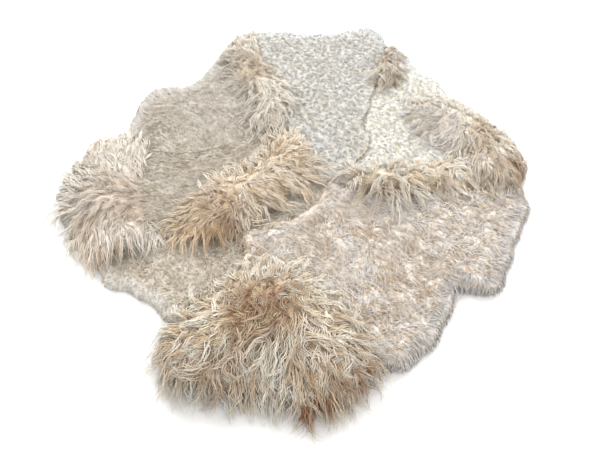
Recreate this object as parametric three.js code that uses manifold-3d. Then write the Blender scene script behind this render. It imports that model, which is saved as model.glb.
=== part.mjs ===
// A patchwork rug of seven sheepskins, sewn edge to edge, lying flat with the wool up.
// Each skin is one closed solid: a flat underside, a rounded edge, a lumpy pile and,
// where the wool was left unshorn, a raised tuft with pointed locks.
// Millimetres, +Z up, the underside on Z = 0 and the origin at the middle of the rug.
import * as THREE from "three";
import { mergeVertices } from "three/addons/utils/BufferGeometryUtils.js";
import Module from "manifold-3d";

const wasm = await Module();
wasm.setup();

// Driving dimensions
const SEAM_GAP = 0.3; // between two sewn skins
const EDGE_STEP = 44; // spacing of the points along an edge
const INNER_STEP = 56; // spacing of the points inside a skin
const INNER_MARGIN = 36; // how far those stay from the edge
const SEAM_ROUND = 0.55; // how much of the rim's rounding a sewn edge has
const LUMP_HEIGHT = 6; // of the soft lumps in the pile
const LUMP_LENGTH = 105;
const LOCK_THICK = 0.5; // of a lock, as a share of its width
const SPINE_POINTS = 14; // steps along the spine of a tuft

// The rim in section, from the underside up: how far in it lies, and its share of the pile's height
const RIM_SECTION = [
  { inset: 7, height: 0 },
  { inset: 0, height: 0.32 },
  { inset: 9, height: 0.78 },
  { inset: 24, height: 0.97 },
];

// Places in plan where the edges of the skins meet
const CORNERS = {
  hub: [128, -52],
  crown: [-60, 280],
  waist: [-212, -322],
  heart: [-192, -492],
  far_left: [-252, 1012],
  far_right: [458, 866],
  right: [918, -84],
  near_right: [256, -826],
  near_left: [-405, -718],
  left_low: [-745, -446],
  left_high: [-762, 186],
};

// Sewn edges and free edges: the places each passes, and ripples along it of a given depth
const EDGES = {
  top_to_upper_right: {
    from: "far_right",
    to: "hub",
    via: [[392, 640], [335, 455], [288, 300], [305, 195], [245, 60], [182, 8]],
    ripples: 9,
    depth: 5,
  },
  top_to_upper_left: {
    from: "far_left",
    to: "crown",
    via: [[-185, 735], [-48, 490]],
    ripples: 3,
    depth: 5,
  },
  top_to_left: { from: "crown", to: "hub", via: [[15, 122]], ripples: 2, depth: 4 },
  upper_left_to_left: {
    from: "left_high",
    to: "crown",
    via: [[-600, 116], [-430, 126], [-255, 188]],
    ripples: 3,
    depth: 5,
  },
  lower_left_to_left: {
    from: "left_low",
    to: "waist",
    via: [[-665, -393], [-560, -358], [-468, -322], [-370, -338]],
    ripples: 2,
    depth: 4,
  },
  left_to_lower_right: {
    from: "waist",
    to: "hub",
    via: [[-140, -282], [-30, -258], [70, -178]],
    ripples: 2,
    depth: 3,
  },
  lower_left_to_lower_right: { from: "waist", to: "heart", via: [], ripples: 1, depth: 4 },
  lower_left_to_bottom: {
    from: "near_left",
    to: "heart",
    via: [[-318, -650], [-258, -575]],
    ripples: 2,
    depth: 4,
  },
  bottom_to_lower_right: {
    from: "heart",
    to: "near_right",
    via: [[-100, -470], [6, -520], [104, -632], [172, -738]],
    ripples: 3,
    depth: 5,
  },
  upper_right_to_lower_right: {
    from: "hub",
    to: "right",
    via: [[250, -108], [410, -126], [610, -112], [780, -102]],
    ripples: 4,
    depth: 4,
  },
  rim_upper_right: {
    from: "right",
    to: "far_right",
    via: [[955, 30], [955, 130], [895, 285], [822, 424], [746, 470], [684, 612], [608, 678], [560, 796]],
    ripples: 14,
    depth: 5,
  },
  rim_top: {
    from: "far_right",
    to: "far_left",
    via: [[448, 975], [375, 1042], [252, 1008], [110, 984], [-100, 1006]],
    ripples: 9,
    depth: 4,
  },
  rim_upper_left: {
    from: "far_left",
    to: "left_high",
    via: [[-350, 922], [-432, 752], [-520, 574], [-672, 556], [-744, 470], [-768, 350]],
    ripples: 8,
    depth: 4,
  },
  rim_left: {
    from: "left_high",
    to: "left_low",
    via: [[-858, 172], [-930, 94], [-970, -48], [-950, -214], [-856, -352]],
    ripples: 9,
    depth: 6,
  },
  rim_lower_left: {
    from: "left_low",
    to: "near_left",
    via: [[-690, -532], [-610, -552], [-524, -604], [-456, -660]],
    ripples: 7,
    depth: 5,
  },
  rim_bottom: {
    from: "near_left",
    to: "near_right",
    via: [
      [-432, -800], [-412, -880], [-288, -904], [-160, -922], [-30, -938], [22, -990],
      [92, -958], [158, -930], [214, -884],
    ],
    ripples: 15,
    depth: 5,
  },
  rim_lower_right: {
    from: "near_right",
    to: "right",
    via: [
      [318, -842], [404, -800], [482, -720], [540, -622], [592, -532], [652, -566],
      [730, -542], [786, -442], [852, -314], [928, -180],
    ],
    ripples: 17,
    depth: 6,
  },
};

// The skins: their edges in order, anticlockwise in plan, and the height of the shorn pile
const SKINS = {
  skin_top: {
    pile: 44,
    colour: 0xe9e4da,
    loop: ["rim_top", "top_to_upper_left", "top_to_left", "-top_to_upper_right"],
  },
  skin_upper_right: {
    pile: 33,
    colour: 0xe8dfc9,
    loop: ["rim_upper_right", "top_to_upper_right", "upper_right_to_lower_right"],
  },
  skin_lower_right: {
    pile: 46,
    colour: 0xe3d8cb,
    loop: [
      "rim_lower_right", "-upper_right_to_lower_right", "-left_to_lower_right",
      "lower_left_to_lower_right", "bottom_to_lower_right",
    ],
  },
  skin_bottom: {
    pile: 56,
    colour: 0xcdbb9a,
    loop: ["rim_bottom", "-bottom_to_lower_right", "-lower_left_to_bottom"],
  },
  skin_lower_left: {
    pile: 32,
    colour: 0xdcd3c3,
    loop: ["rim_lower_left", "lower_left_to_bottom", "-lower_left_to_lower_right", "-lower_left_to_left"],
  },
  skin_left: {
    pile: 36,
    colour: 0xd8cbb6,
    loop: [
      "rim_left", "lower_left_to_left", "left_to_lower_right", "-top_to_left", "-upper_left_to_left",
    ],
  },
  skin_upper_left: {
    pile: 38,
    colour: 0xdad2c4,
    loop: ["rim_upper_left", "upper_left_to_left", "-top_to_upper_left"],
  },
};

// The unshorn tufts. Each follows a spine in plan and is a ridge of the given height over the
// pile, reach mm to each side. Its locks grow start mm from the spine and lie away from it on
// one side: 1 is the spine's left, -1 its right. Locks marked rim end flat on the floor.
const TUFTS = [
  {
    skin: "skin_left", // falls over the left rim
    spine: [[-800, 110], [-792, -40], [-770, -190], [-690, -350]],
    height: 50,
    reach: 120,
    rows: [
      { side: -1, count: 15, start: 94, length: 118, width: 30, rim: true },
      { side: -1, count: 12, start: 22, length: 74, width: 26, rim: false },
      { side: 1, count: 9, start: 34, length: 62, width: 24, rim: false },
    ],
  },
  {
    skin: "skin_left", // across the middle of the rug
    spine: [[-34, 96], [-84, -14], [-180, -100], [-288, -168], [-352, -286]],
    height: 52,
    reach: 118,
    rows: [
      { side: -1, count: 14, start: 40, length: 84, width: 27, rim: false },
      { side: 1, count: 14, start: 42, length: 80, width: 27, rim: false },
    ],
  },
  {
    skin: "skin_upper_left",
    spine: [[-262, 880], [-222, 700], [-150, 560], [-105, 420], [-120, 335]],
    height: 34,
    reach: 105,
    rows: [
      { side: -1, count: 13, start: 34, length: 84, width: 27, rim: false },
      { side: 1, count: 9, start: 34, length: 56, width: 24, rim: false },
    ],
  },
  {
    skin: "skin_upper_right", // the rounded mass at the right end
    spine: [[640, 330], [735, 225], [820, 130], [850, 10]],
    height: 66,
    reach: 150,
    rows: [
      { side: 1, count: 13, start: 56, length: 96, width: 30, rim: false },
      { side: -1, count: 13, start: 50, length: 92, width: 28, rim: false },
    ],
  },
  {
    skin: "skin_upper_right", // the band along the seam to the lower right skin
    spine: [[215, -40], [380, -56], [560, -46], [720, -18]],
    height: 44,
    reach: 84,
    rows: [
      { side: -1, count: 15, start: 26, length: 92, width: 26, rim: false },
      { side: 1, count: 9, start: 26, length: 50, width: 22, rim: false },
    ],
  },
  {
    skin: "skin_upper_right", // the small tuft at the far end
    spine: [[458, 790], [420, 650]],
    height: 40,
    reach: 86,
    rows: [
      { side: 1, count: 5, start: 30, length: 64, width: 24, rim: false },
      { side: -1, count: 4, start: 2, length: 52, width: 22, rim: false },
    ],
  },
  {
    skin: "skin_bottom",
    spine: [[-320, -790], [-232, -690], [-120, -625], [5, -670], [105, -790]],
    height: 62,
    reach: 190,
    rows: [
      { side: 1, count: 19, start: 74, length: 104, width: 30, rim: false },
      { side: -1, count: 10, start: 44, length: 92, width: 30, rim: false },
    ],
  },
];

// Locks that hang from the rim of the bottom skin down to the floor
const RIM_LOCKS = { skin: "skin_bottom", edge: "rim_bottom", count: 27, inset: 34, length: 96, width: 32 };

// Small helpers for points in plan
const minus = (a, b) => [a[0] - b[0], a[1] - b[1]];
const along = (a, d, s) => [a[0] + d[0] * s, a[1] + d[1] * s];
const lengthOf = (a) => Math.hypot(a[0], a[1]);
const unit = (a) => [a[0] / lengthOf(a), a[1] / lengthOf(a)];
const leftOf = (d) => [-d[1], d[0]];
const toPlan = (v) => [v.x, v.y];

// A smooth curve in plan through the given places
function smooth(places) {
  const points = places.map(([x, y]) => new THREE.Vector3(x, y, 0));
  return new THREE.CatmullRomCurve3(points, false, "centripetal");
}

// Evenly spaced points along an edge, with its ripples, ends included
function edgePoints({ from, to, via, ripples, depth }) {
  const curve = smooth([CORNERS[from], ...via, CORNERS[to]]);
  const count = Math.max(2, Math.round(curve.getLength() / EDGE_STEP));
  return curve.getSpacedPoints(count).map((v, i) => {
    const share = i / count;
    const across = leftOf(toPlan(curve.getTangentAt(share)));
    return along(toPlan(v), across, depth * Math.sin(share * ripples * Math.PI));
  });
}

// A skin's closed outline, with a mark on each point: 1 on the rug's rim, less on a sewn edge
function outline(skin) {
  const points = [];
  for (const name of SKINS[skin].loop) {
    const reversed = name.startsWith("-");
    const key = reversed ? name.slice(1) : name;
    const run = edgePoints(EDGES[key]);
    if (reversed) run.reverse();
    const free = key.startsWith("rim") ? 1 : SEAM_ROUND;
    for (const [i, at] of run.slice(0, -1).entries()) points.push({ at, free: i ? free : SEAM_ROUND });
  }
  return points;
}

// The outline moved inwards, with mitred corners
function inset(points, distance) {
  return points.map(({ at }, i) => {
    const before = points.at(i - 1).at;
    const after = points[(i + 1) % points.length].at;
    const a = leftOf(unit(minus(at, before)));
    const b = leftOf(unit(minus(after, at)));
    const middle = unit([a[0] + b[0], a[1] + b[1]]);
    const spread = Math.max(0.5, middle[0] * a[0] + middle[1] * a[1]);
    return along(at, middle, distance(i) / spread);
  });
}

function isInside(place, loop) {
  let inside = false;
  for (let i = 0, j = loop.length - 1; i < loop.length; j = i++) {
    const [a, b] = [loop[i], loop[j]];
    const crosses = a[1] > place[1] !== b[1] > place[1];
    if (crosses && place[0] < ((b[0] - a[0]) * (place[1] - a[1])) / (b[1] - a[1]) + a[0]) inside = !inside;
  }
  return inside;
}

// The nearest point of a line of places: how far it is and how far along, from 0 to 1
function nearest(place, line) {
  let best = { distance: Infinity, share: 0 };
  for (let i = 0; i + 1 < line.length; i++) {
    const run = minus(line[i + 1], line[i]);
    const from = minus(place, line[i]);
    const t = THREE.MathUtils.clamp((run[0] * from[0] + run[1] * from[1]) / lengthOf(run) ** 2, 0, 1);
    const distance = lengthOf(minus(place, along(line[i], run, t)));
    if (distance < best.distance) best = { distance, share: (i + t) / (line.length - 1) };
  }
  return best;
}

for (const tuft of TUFTS) {
  tuft.curve = smooth(tuft.spine);
  tuft.line = tuft.curve.getSpacedPoints(SPINE_POINTS).map(toPlan);
}

// The soft lumps that a fleece has everywhere
function lump([x, y]) {
  const k = (2 * Math.PI) / LUMP_LENGTH;
  const across = Math.sin(k * x + 1.7 * Math.sin(k * 0.6 * y));
  const deep = Math.sin(k * 0.83 * y + 1.3 * Math.sin(k * 0.7 * x));
  return (LUMP_HEIGHT * (across + deep)) / 2;
}

// Height of a skin's pile at a place
function pileTop(skin, place) {
  let top = SKINS[skin].pile + lump(place);
  for (const tuft of TUFTS.filter((t) => t.skin === skin)) {
    const away = nearest(place, tuft.line).distance / tuft.reach;
    if (away < 1) top = Math.max(top, top + tuft.height * (1 - away * away) ** 1.5);
  }
  return top;
}

// Delaunay triangles of a set of places, by adding them one at a time
function delaunay(places) {
  const FAR = 1e5;
  const all = [...places, [-FAR, -FAR], [FAR, -FAR], [0, FAR]];
  const n = places.length;
  let triangles = [circled(all, n, n + 1, n + 2)];
  for (let i = 0; i < n; i++) {
    const [x, y] = places[i];
    const hit = triangles.filter((t) => (x - t.x) ** 2 + (y - t.y) ** 2 < t.r2);
    const open = new Map();
    for (const { v } of hit)
      for (const [a, b] of [[v[0], v[1]], [v[1], v[2]], [v[2], v[0]]])
        if (!open.delete(b + ">" + a)) open.set(a + ">" + b, [a, b]);
    triangles = triangles.filter((t) => !hit.includes(t));
    for (const [a, b] of open.values()) triangles.push(circled(all, a, b, i));
  }
  return triangles.map((t) => t.v).filter((v) => Math.max(...v) < n);
}

// A triangle with its circumscribed circle
function circled(all, i, j, k) {
  const [ax, ay] = all[i];
  const [bx, by] = minus(all[j], all[i]);
  const [cx, cy] = minus(all[k], all[i]);
  const twice = 2 * (bx * cy - by * cx);
  const x = (cy * (bx * bx + by * by) - by * (cx * cx + cy * cy)) / twice;
  const y = (bx * (cx * cx + cy * cy) - cx * (bx * bx + by * by)) / twice;
  return { v: [i, j, k], x: ax + x, y: ay + y, r2: x * x + y * y };
}

// A staggered grid of places inside a loop, clear of its edge
function innerPlaces(loop) {
  const xs = loop.map((p) => p[0]);
  const ys = loop.map((p) => p[1]);
  const rowStep = (INNER_STEP * Math.sqrt(3)) / 2;
  const closed = [...loop, loop[0]];
  const places = [];
  for (let row = 0, y = Math.min(...ys); y < Math.max(...ys); row++, y += rowStep)
    for (let x = Math.min(...xs) + (row % 2) * (INNER_STEP / 2); x < Math.max(...xs); x += INNER_STEP)
      if (isInside([x, y], loop) && nearest([x, y], closed).distance > INNER_MARGIN) places.push([x, y]);
  return places;
}

// A closed solid from corners and triangles
function solidOf(corners, triangles) {
  const geometry = new THREE.BufferGeometry();
  geometry.setAttribute("position", new THREE.Float32BufferAttribute(corners.flat(), 3));
  geometry.setIndex(triangles.flat());
  const merged = mergeVertices(geometry, 1e-4);
  const mesh = new wasm.Mesh({
    numProp: 3,
    vertProperties: new Float32Array(merged.attributes.position.array),
    triVerts: new Uint32Array(merged.index.array),
  });
  return new wasm.Manifold(mesh);
}

// The skin itself: underside, rounded rim and lumpy top
function slab(skin) {
  const points = outline(skin);
  const corners = [];
  const rings = [];
  const floor = RIM_SECTION[0];
  for (const { inset: depth, height } of RIM_SECTION) {
    const isFloor = height === floor.height;
    const ring = inset(points, (i) => {
      const sewn = points[i].free < 1;
      return SEAM_GAP / 2 + (isFloor && sewn ? 0 : depth * points[i].free);
    });
    rings.push(ring.map((at) => corners.push([...at, height * pileTop(skin, at)]) - 1));
  }
  const triangles = [];
  const count = points.length;
  for (let r = 0; r + 1 < rings.length; r++)
    for (let i = 0; i < count; i++) {
      const [a, b] = [rings[r][i], rings[r][(i + 1) % count]];
      const [c, d] = [rings[r + 1][i], rings[r + 1][(i + 1) % count]];
      triangles.push([a, b, d], [a, d, c]);
    }
  const flat = (index) => new THREE.Vector2(corners[index][0], corners[index][1]);
  for (const [a, b, c] of THREE.ShapeUtils.triangulateShape(rings[0].map(flat), []))
    triangles.push([rings[0][a], rings[0][c], rings[0][b]]);
  const rim = rings.at(-1);
  const loop = rim.map((index) => corners[index].slice(0, 2));
  const inner = innerPlaces(loop);
  const top = [...rim, ...inner.map((at) => corners.push([...at, pileTop(skin, at)]) - 1)];
  const places = [...loop, ...inner];
  for (const [a, b, c] of delaunay(places)) {
    const middle = [0, 1].map((k) => (places[a][k] + places[b][k] + places[c][k]) / 3);
    if (isInside(middle, loop)) triangles.push([top[a], top[b], top[c]]);
  }
  return solidOf(corners, triangles);
}

// A pointed lock with three sides, flat below. Stations hold a place in plan, the height of
// the underside and the width; the last one is the tip.
function lock(stations) {
  const corners = [];
  const triangles = [];
  const body = stations.slice(0, -1);
  for (const [i, { at, z, width }] of body.entries()) {
    const across = leftOf(unit(minus(stations[i + 1].at, at)));
    corners.push(
      [...along(at, across, -width / 2), z],
      [...along(at, across, width / 2), z],
      [...at, z + width * LOCK_THICK],
    );
  }
  const tip = corners.push([...stations.at(-1).at, stations.at(-1).z]) - 1;
  triangles.push([0, 2, 1]);
  for (let i = 0; i < body.length; i++)
    for (let k = 0; k < 3; k++) {
      const [a, b] = [3 * i + k, 3 * i + ((k + 1) % 3)];
      if (i + 1 < body.length) triangles.push([a, b, b + 3], [a, b + 3, a + 3]);
      else triangles.push([a, b, tip]);
    }
  return solidOf(corners, triangles);
}

// The skin whose outline holds a place
const OUTLINES = Object.fromEntries(Object.keys(SKINS).map((s) => [s, outline(s).map((p) => p.at)]));
function skinAt(place) {
  return Object.keys(SKINS).find((skin) => isInside(place, OUTLINES[skin]));
}

// Height of the rug under a place, 0 outside it
function groundAt(place) {
  const skin = skinAt(place);
  return skin ? pileTop(skin, place) : 0;
}

// Where a lock's stations lie: share of its length, height over the pile and share of its width
const LOCK_STATIONS = [
  { share: 0, over: -16, width: 0.9 },
  { share: 0.36, over: 8, width: 1 },
  { share: 0.72, over: 13, width: 0.62 },
  { share: 1, over: 14, width: 0 },
];
const CURL = 0.32; // the most that a lock's tip sweeps sideways, as a share of its length
const END_FAN = 0.9; // how far the locks at a tuft's two ends turn along its spine

// Stations of a lock that starts at root and lies in a heading, above what is under it
function stationsOf(root, heading, length, width, sweep) {
  const sideways = leftOf(heading);
  return LOCK_STATIONS.map(({ share, over, width: part }) => {
    const straight = along(root, heading, length * share);
    const at = along(straight, sideways, length * sweep * share * share);
    const under = [-0.5, 0, 0.5].map((s) => groundAt(along(at, sideways, s * width * part)));
    const ground = share ? Math.max(...under) : Math.min(...under);
    return { at, z: Math.max(0, ground + over), width: width * part };
  });
}

// The rim's locks leave the slab low down and end flat on the floor
const RIM_STATIONS = [
  { share: 0, z: 12, width: 0.9 },
  { share: 0.4, z: 6, width: 1 },
  { share: 0.7, z: 0, width: 0.7 },
  { share: 1, z: 0, width: 0 },
];

function rimStationsOf(root, heading, length, width, sweep) {
  const sideways = leftOf(heading);
  return RIM_STATIONS.map(({ share, z, width: part }) => {
    const straight = along(root, heading, length * share);
    return { at: along(straight, sideways, length * sweep * share * share), z, width: width * part };
  });
}

// An uneven share that doesn't repeat soon, from 0 to 1, and what it does to the i-th lock
const uneven = (i) => (i * 0.618 + 0.31 * Math.sin(i * 1.7) + 4) % 1;
const unevenLength = (length, i) => length * (0.74 + 0.5 * uneven(i));
const unevenSweep = (i) => CURL * (2 * uneven(i + 5) - 1);

// All locks of one tuft
function tuftLocks({ curve, rows }) {
  const made = [];
  for (const { side, count, start, length, width, rim } of rows)
    for (let i = 0; i < count; i++) {
      const share = (i + 0.25 + 0.5 * uneven(i + side)) / count;
      const tangent = toPlan(curve.getTangentAt(share));
      const away = leftOf(tangent).map((v) => v * side);
      const heading = unit(along(away, tangent, END_FAN * (share - 0.5)));
      const root = along(toPlan(curve.getPointAt(share)), heading, start * (0.8 + 0.4 * uneven(i + 9)));
      const wide = width * (0.8 + 0.4 * uneven(i + 4));
      const route = rim ? rimStationsOf : stationsOf;
      made.push(lock(route(root, heading, unevenLength(length, i), wide, unevenSweep(i))));
    }
  return made;
}

function rimLocks({ edge, count, inset: depth, length, width }) {
  const { from, to, via } = EDGES[edge];
  const curve = smooth([CORNERS[from], ...via, CORNERS[to]]);
  return Array.from({ length: count }, (_, i) => {
    const share = (i + 1) / (count + 1);
    const inward = leftOf(toPlan(curve.getTangentAt(share)));
    const heading = [-inward[0], -inward[1]];
    const root = along(toPlan(curve.getPointAt(share)), inward, depth);
    return lock(rimStationsOf(root, heading, unevenLength(length, i), width, unevenSweep(i)));
  });
}

function meshOf(name, solid) {
  const { vertProperties, triVerts } = solid.getMesh();
  const geometry = new THREE.BufferGeometry();
  geometry.setAttribute("position", new THREE.BufferAttribute(vertProperties, 3));
  geometry.setIndex(new THREE.BufferAttribute(triVerts, 1));
  geometry.computeVertexNormals();
  const colour = SKINS[name].colour;
  const mesh = new THREE.Mesh(geometry, new THREE.MeshStandardMaterial({ color: colour, roughness: 0.95 }));
  mesh.name = name;
  return mesh;
}

const rug = new THREE.Group();
for (const skin of Object.keys(SKINS)) {
  let solid = slab(skin);
  const locks = TUFTS.filter((t) => t.skin === skin).flatMap(tuftLocks);
  if (RIM_LOCKS.skin === skin) locks.push(...rimLocks(RIM_LOCKS));
  for (const one of locks) solid = solid.add(one);
  rug.add(meshOf(skin, solid));
}

// The origin goes to the middle of the rug's underside
const middle = new THREE.Box3().setFromObject(rug).getCenter(new THREE.Vector3());
rug.position.set(-middle.x, -middle.y, 0);

export default rug;
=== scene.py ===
"""A patchwork rug of seven whole sheepskins, sewn edge to edge and laid flat with the wool up.

Each skin has a suede hide, an underwool that fills the form of its solid, short curls where the wool
was shorn, and long wavy locks where it was left to grow. Tables are in millimetres, as a maker would
measure them, and everything that is built is in metres, in the frame of the solids.
"""

from __future__ import annotations

import logging
import math
from dataclasses import dataclass
from enum import Enum

import bpy
import numpy as np
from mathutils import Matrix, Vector
from mathutils.geometry import delaunay_2d_cdt


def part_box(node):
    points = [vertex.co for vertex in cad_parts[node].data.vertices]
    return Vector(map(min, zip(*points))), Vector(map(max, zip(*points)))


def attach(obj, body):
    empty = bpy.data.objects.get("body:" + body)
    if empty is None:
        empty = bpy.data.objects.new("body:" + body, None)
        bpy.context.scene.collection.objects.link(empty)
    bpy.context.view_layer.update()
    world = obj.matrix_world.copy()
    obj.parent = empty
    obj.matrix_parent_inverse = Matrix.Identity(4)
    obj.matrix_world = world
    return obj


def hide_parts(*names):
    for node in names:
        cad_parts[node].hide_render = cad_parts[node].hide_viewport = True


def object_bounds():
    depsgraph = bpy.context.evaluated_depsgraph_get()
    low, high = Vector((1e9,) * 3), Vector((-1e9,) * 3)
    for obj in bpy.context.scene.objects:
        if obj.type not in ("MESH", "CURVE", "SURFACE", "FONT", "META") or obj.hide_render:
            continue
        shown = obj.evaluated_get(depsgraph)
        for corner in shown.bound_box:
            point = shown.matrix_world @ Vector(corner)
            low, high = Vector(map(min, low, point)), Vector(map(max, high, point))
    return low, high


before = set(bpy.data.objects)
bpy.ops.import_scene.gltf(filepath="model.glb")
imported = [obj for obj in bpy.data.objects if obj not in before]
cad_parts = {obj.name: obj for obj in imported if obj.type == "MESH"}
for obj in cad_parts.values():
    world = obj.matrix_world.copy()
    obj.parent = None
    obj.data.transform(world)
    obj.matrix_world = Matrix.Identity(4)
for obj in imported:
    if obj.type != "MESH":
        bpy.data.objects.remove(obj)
CAD_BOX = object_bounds()

MM = 0.001
FLOOR_CLEARANCE = 1.2 * MM  # wool that touches the floor stays this far over it
HIDE_THICKNESS = 2.0 * MM
CEILING = CAD_BOX[1][2] + 10 * MM  # no strand stands higher than this
LOG = logging.getLogger("rug")

Array = np.ndarray


# Colour and nodes


def linear(colour: str) -> tuple[float, float, float, float]:
    """Turns an sRGB hex colour into the linear values that shaders use.

    Args:
        colour: six hex digits, such as "e9e2d4".

    Returns:
        Red, green, blue and an alpha of 1.
    """
    shares = [int(colour[i : i + 2], 16) / 255 for i in (0, 2, 4)]
    red, green, blue = (s / 12.92 if s <= 0.04045 else ((s + 0.055) / 1.055) ** 2.4 for s in shares)
    return red, green, blue, 1.0


class Nodes:
    """A node tree that grows node by node, of a finish or of the wool's strands."""

    def __init__(self, tree: bpy.types.NodeTree) -> None:
        """Starts with a tree as it is."""
        self.tree = tree

    def add(self, kind: str, inputs: dict | None = None, **settings) -> bpy.types.Node:
        """Adds a node, with its settings and links.

        Args:
            kind: the node's type.
            inputs: for each input's name or number, a value or the output that feeds it.
            **settings: the node's own properties.

        Returns:
            The new node.
        """
        node = self.tree.nodes.new(kind)
        for key, value in settings.items():
            setattr(node, key, value)
        for key, value in (inputs or {}).items():
            if isinstance(value, bpy.types.NodeSocket):
                self.tree.links.new(value, node.inputs[key])
            else:
                node.inputs[key].default_value = value
        return node

    def math(self, operation: str, first, *others) -> bpy.types.NodeSocket:
        """Works out a sum with one number or more, taken in from the left."""
        for other in others or (0.0,):
            first = self.add("ShaderNodeMath", {0: first, 1: other}, operation=operation).outputs[0]
        return first


class Shader(Nodes):
    """A material's node tree, with the few nodes that all the wool uses."""

    def __init__(self, name: str) -> None:
        """Starts an empty material of the given name."""
        self.material = bpy.data.materials.new(name)
        self.material.use_nodes = True
        super().__init__(self.material.node_tree)
        self.tree.nodes.clear()
        self.place = self.add("ShaderNodeTexCoord").outputs["Object"]

    def carried(self, name: str, output: str = "Fac") -> bpy.types.NodeSocket:
        """Reads a number that the mesh carries, or its Color or Vector by the output's name."""
        return self.add("ShaderNodeAttribute", attribute_name=name).outputs[output]

    def coat_normal(self, own: bpy.types.NodeSocket, share: float) -> bpy.types.NodeSocket:
        """Turns a normal part of the way to the normal of the whole coat of wool.

        Light passes through fibres and between them, so wool is lit more as one body than strand by strand.

        Args:
            own: the surface's normal.
            share: how far it turns, from 0 to 1.

        Returns:
            The new normal.
        """
        inputs = {0: share, 4: own, 5: self.carried("lie", "Vector")}
        turned = self.add("ShaderNodeMix", inputs, data_type="VECTOR").outputs[1]
        return self.add("ShaderNodeVectorMath", {0: turned}, operation="NORMALIZE").outputs["Vector"]

    def bump(self, height: bpy.types.NodeSocket, strength: float, depth: float) -> bpy.types.NodeSocket:
        """The normal of a surface with a fine relief of the given depth in metres."""
        inputs = {"Strength": strength, "Distance": depth, "Height": height}
        return self.add("ShaderNodeBump", inputs).outputs["Normal"]

    def noise(self, size: float, detail: float = 2.0, place=None, curl: float = 0.0) -> bpy.types.NodeSocket:
        """Soft noise.

        Args:
            size: of its patches, in metres.
            detail: how many finer layers it has.
            place: where it is looked up, or None for the object's own places.
            curl: how much its patches curl.

        Returns:
            Its value, from 0 to 1.
        """
        inputs = {"Vector": place or self.place, "Scale": 1 / size, "Detail": detail}
        inputs |= {"Roughness": 0.55, "Distortion": curl}
        return self.add("ShaderNodeTexNoise", inputs).outputs["Fac"]

    def ramp(self, value, low: float, high: float, start: float = 0.0, end: float = 1.0):
        """Maps a value from low..high to start..end, and holds it there."""
        inputs = {"Value": value, "From Min": low, "From Max": high, "To Min": start, "To Max": end}
        return self.add("ShaderNodeMapRange", inputs, interpolation_type="SMOOTHSTEP").outputs["Result"]

    def mix(self, share, first, second, blend: str = "MIX") -> bpy.types.NodeSocket:
        """Mixes two colours, from the first at 0 to the second at 1."""
        inputs = {0: share, 6: first, 7: second}
        return self.add("ShaderNodeMix", inputs, data_type="RGBA", blend_type=blend).outputs[2]

    def streaked(self, colour, size: float, darkest: float, palest: float) -> bpy.types.NodeSocket:
        """Varies a colour's brightness between two shares in streaks of a size in metres."""
        share = self.ramp(self.noise(size, 3.0), 0.3, 0.7, darkest, palest)
        grey = self.add("ShaderNodeCombineColor", {0: share, 1: share, 2: share}).outputs[0]
        return self.mix(1.0, colour, grey, "MULTIPLY")

    def finish(self, colour, normal, roughness: float, shine: float, sheen: float) -> bpy.types.Material:
        """Ends the tree in one surface.

        Args:
            colour: of the surface.
            normal: of the surface, or None for its own.
            roughness: from 0, smooth, to 1, matt.
            shine: how much its smooth side mirrors.
            sheen: how much its loose fibre ends catch the light.

        Returns:
            The material.
        """
        inputs = {"Base Color": colour, "Roughness": roughness}
        inputs |= {"Specular IOR Level": shine, "Sheen Weight": sheen}
        if normal is not None:
            inputs["Normal"] = normal
        surface = self.add("ShaderNodeBsdfPrincipled", inputs)
        self.add("ShaderNodeOutputMaterial", {"Surface": surface.outputs["BSDF"]})
        return self.material


# Finishes


@dataclass(frozen=True)
class UnderwoolFinish:
    """Matted undyed wool at the foot of the curls, greasy white on the crests and tan in the pits.

    Wool fibre is matt and slightly lit through, so roughness is high and a soft sheen stands for the
    loose fibre ends. The tan of the pits is partly the wool's own deeper tone and partly painted shade
    between the curls.
    """

    name: str
    crest: str
    # colour of the pits: partly the wool's own deeper tone, partly painted shade between the curls
    pit: str
    patch: str  # of the slightly darker places, a hand across
    # colour near a free rim: paler on most skins, darker on the ivory skin, where it is painted shade
    rim: str
    wisp: float = 12 * MM  # size of the wisps between the curls
    twist: float = 1.8  # how much they curl
    contrast: float = 1.0  # between their tips and their depths
    clump: float = 55 * MM  # size of the clumps that the wisps make
    fibre: float = 4 * MM  # spacing of the fibre bundles that the bump shows
    relief: float = 4 * MM  # their depth
    bump: float = 0.6  # how strongly they show
    streak: float = 8 * MM  # size of the streaks in a tuft's depths
    patch_size: float = 160 * MM
    coat: float = 0.3  # how far it is lit as one body

    def material(self) -> bpy.types.Material:
        """Builds the procedural material."""
        s = Shader(self.name)
        grain = s.carried("grain", "Vector")
        wisps = s.noise(self.wisp, 3.0, grain, self.twist)
        ends = s.math("MULTIPLY", s.ramp(wisps, 0.32, 0.68, -0.5, 0.4), self.contrast)
        clumps = s.ramp(s.noise(self.clump, 2.0), 0.34, 0.66, -0.22, 0.22)
        clumps = s.math("MULTIPLY", clumps, self.contrast)
        crest = s.math("ADD", s.carried("crest"), ends, clumps)
        # darker towards the pits of the relief: partly the wool's own tone, partly painted shade; the painted
        # shadow beside a seam lowers the crest value too
        colour = s.mix(s.ramp(crest, 0.0, 0.9), linear(self.pit), linear(self.crest))
        colour = s.mix(s.ramp(s.noise(self.patch_size), 0.45, 0.68, 0.0, 0.75), colour, linear(self.patch))
        colour = s.mix(s.ramp(s.carried("rim"), 0.1, 0.9, 0.0, 0.8), colour, linear(self.rim))
        depths = s.streaked(s.carried("depths", "Color"), self.streak, 0.72, 1.12)
        colour = s.mix(s.carried("tuft"), colour, depths)
        relief = s.math("ADD", s.noise(self.fibre, 2.0, grain, 1.0), s.math("MULTIPLY", wisps, 2.5))
        normal = s.coat_normal(s.bump(relief, self.bump, self.relief), self.coat)
        return s.finish(colour, normal, roughness=0.92, shine=0.15, sheen=0.25)


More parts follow.
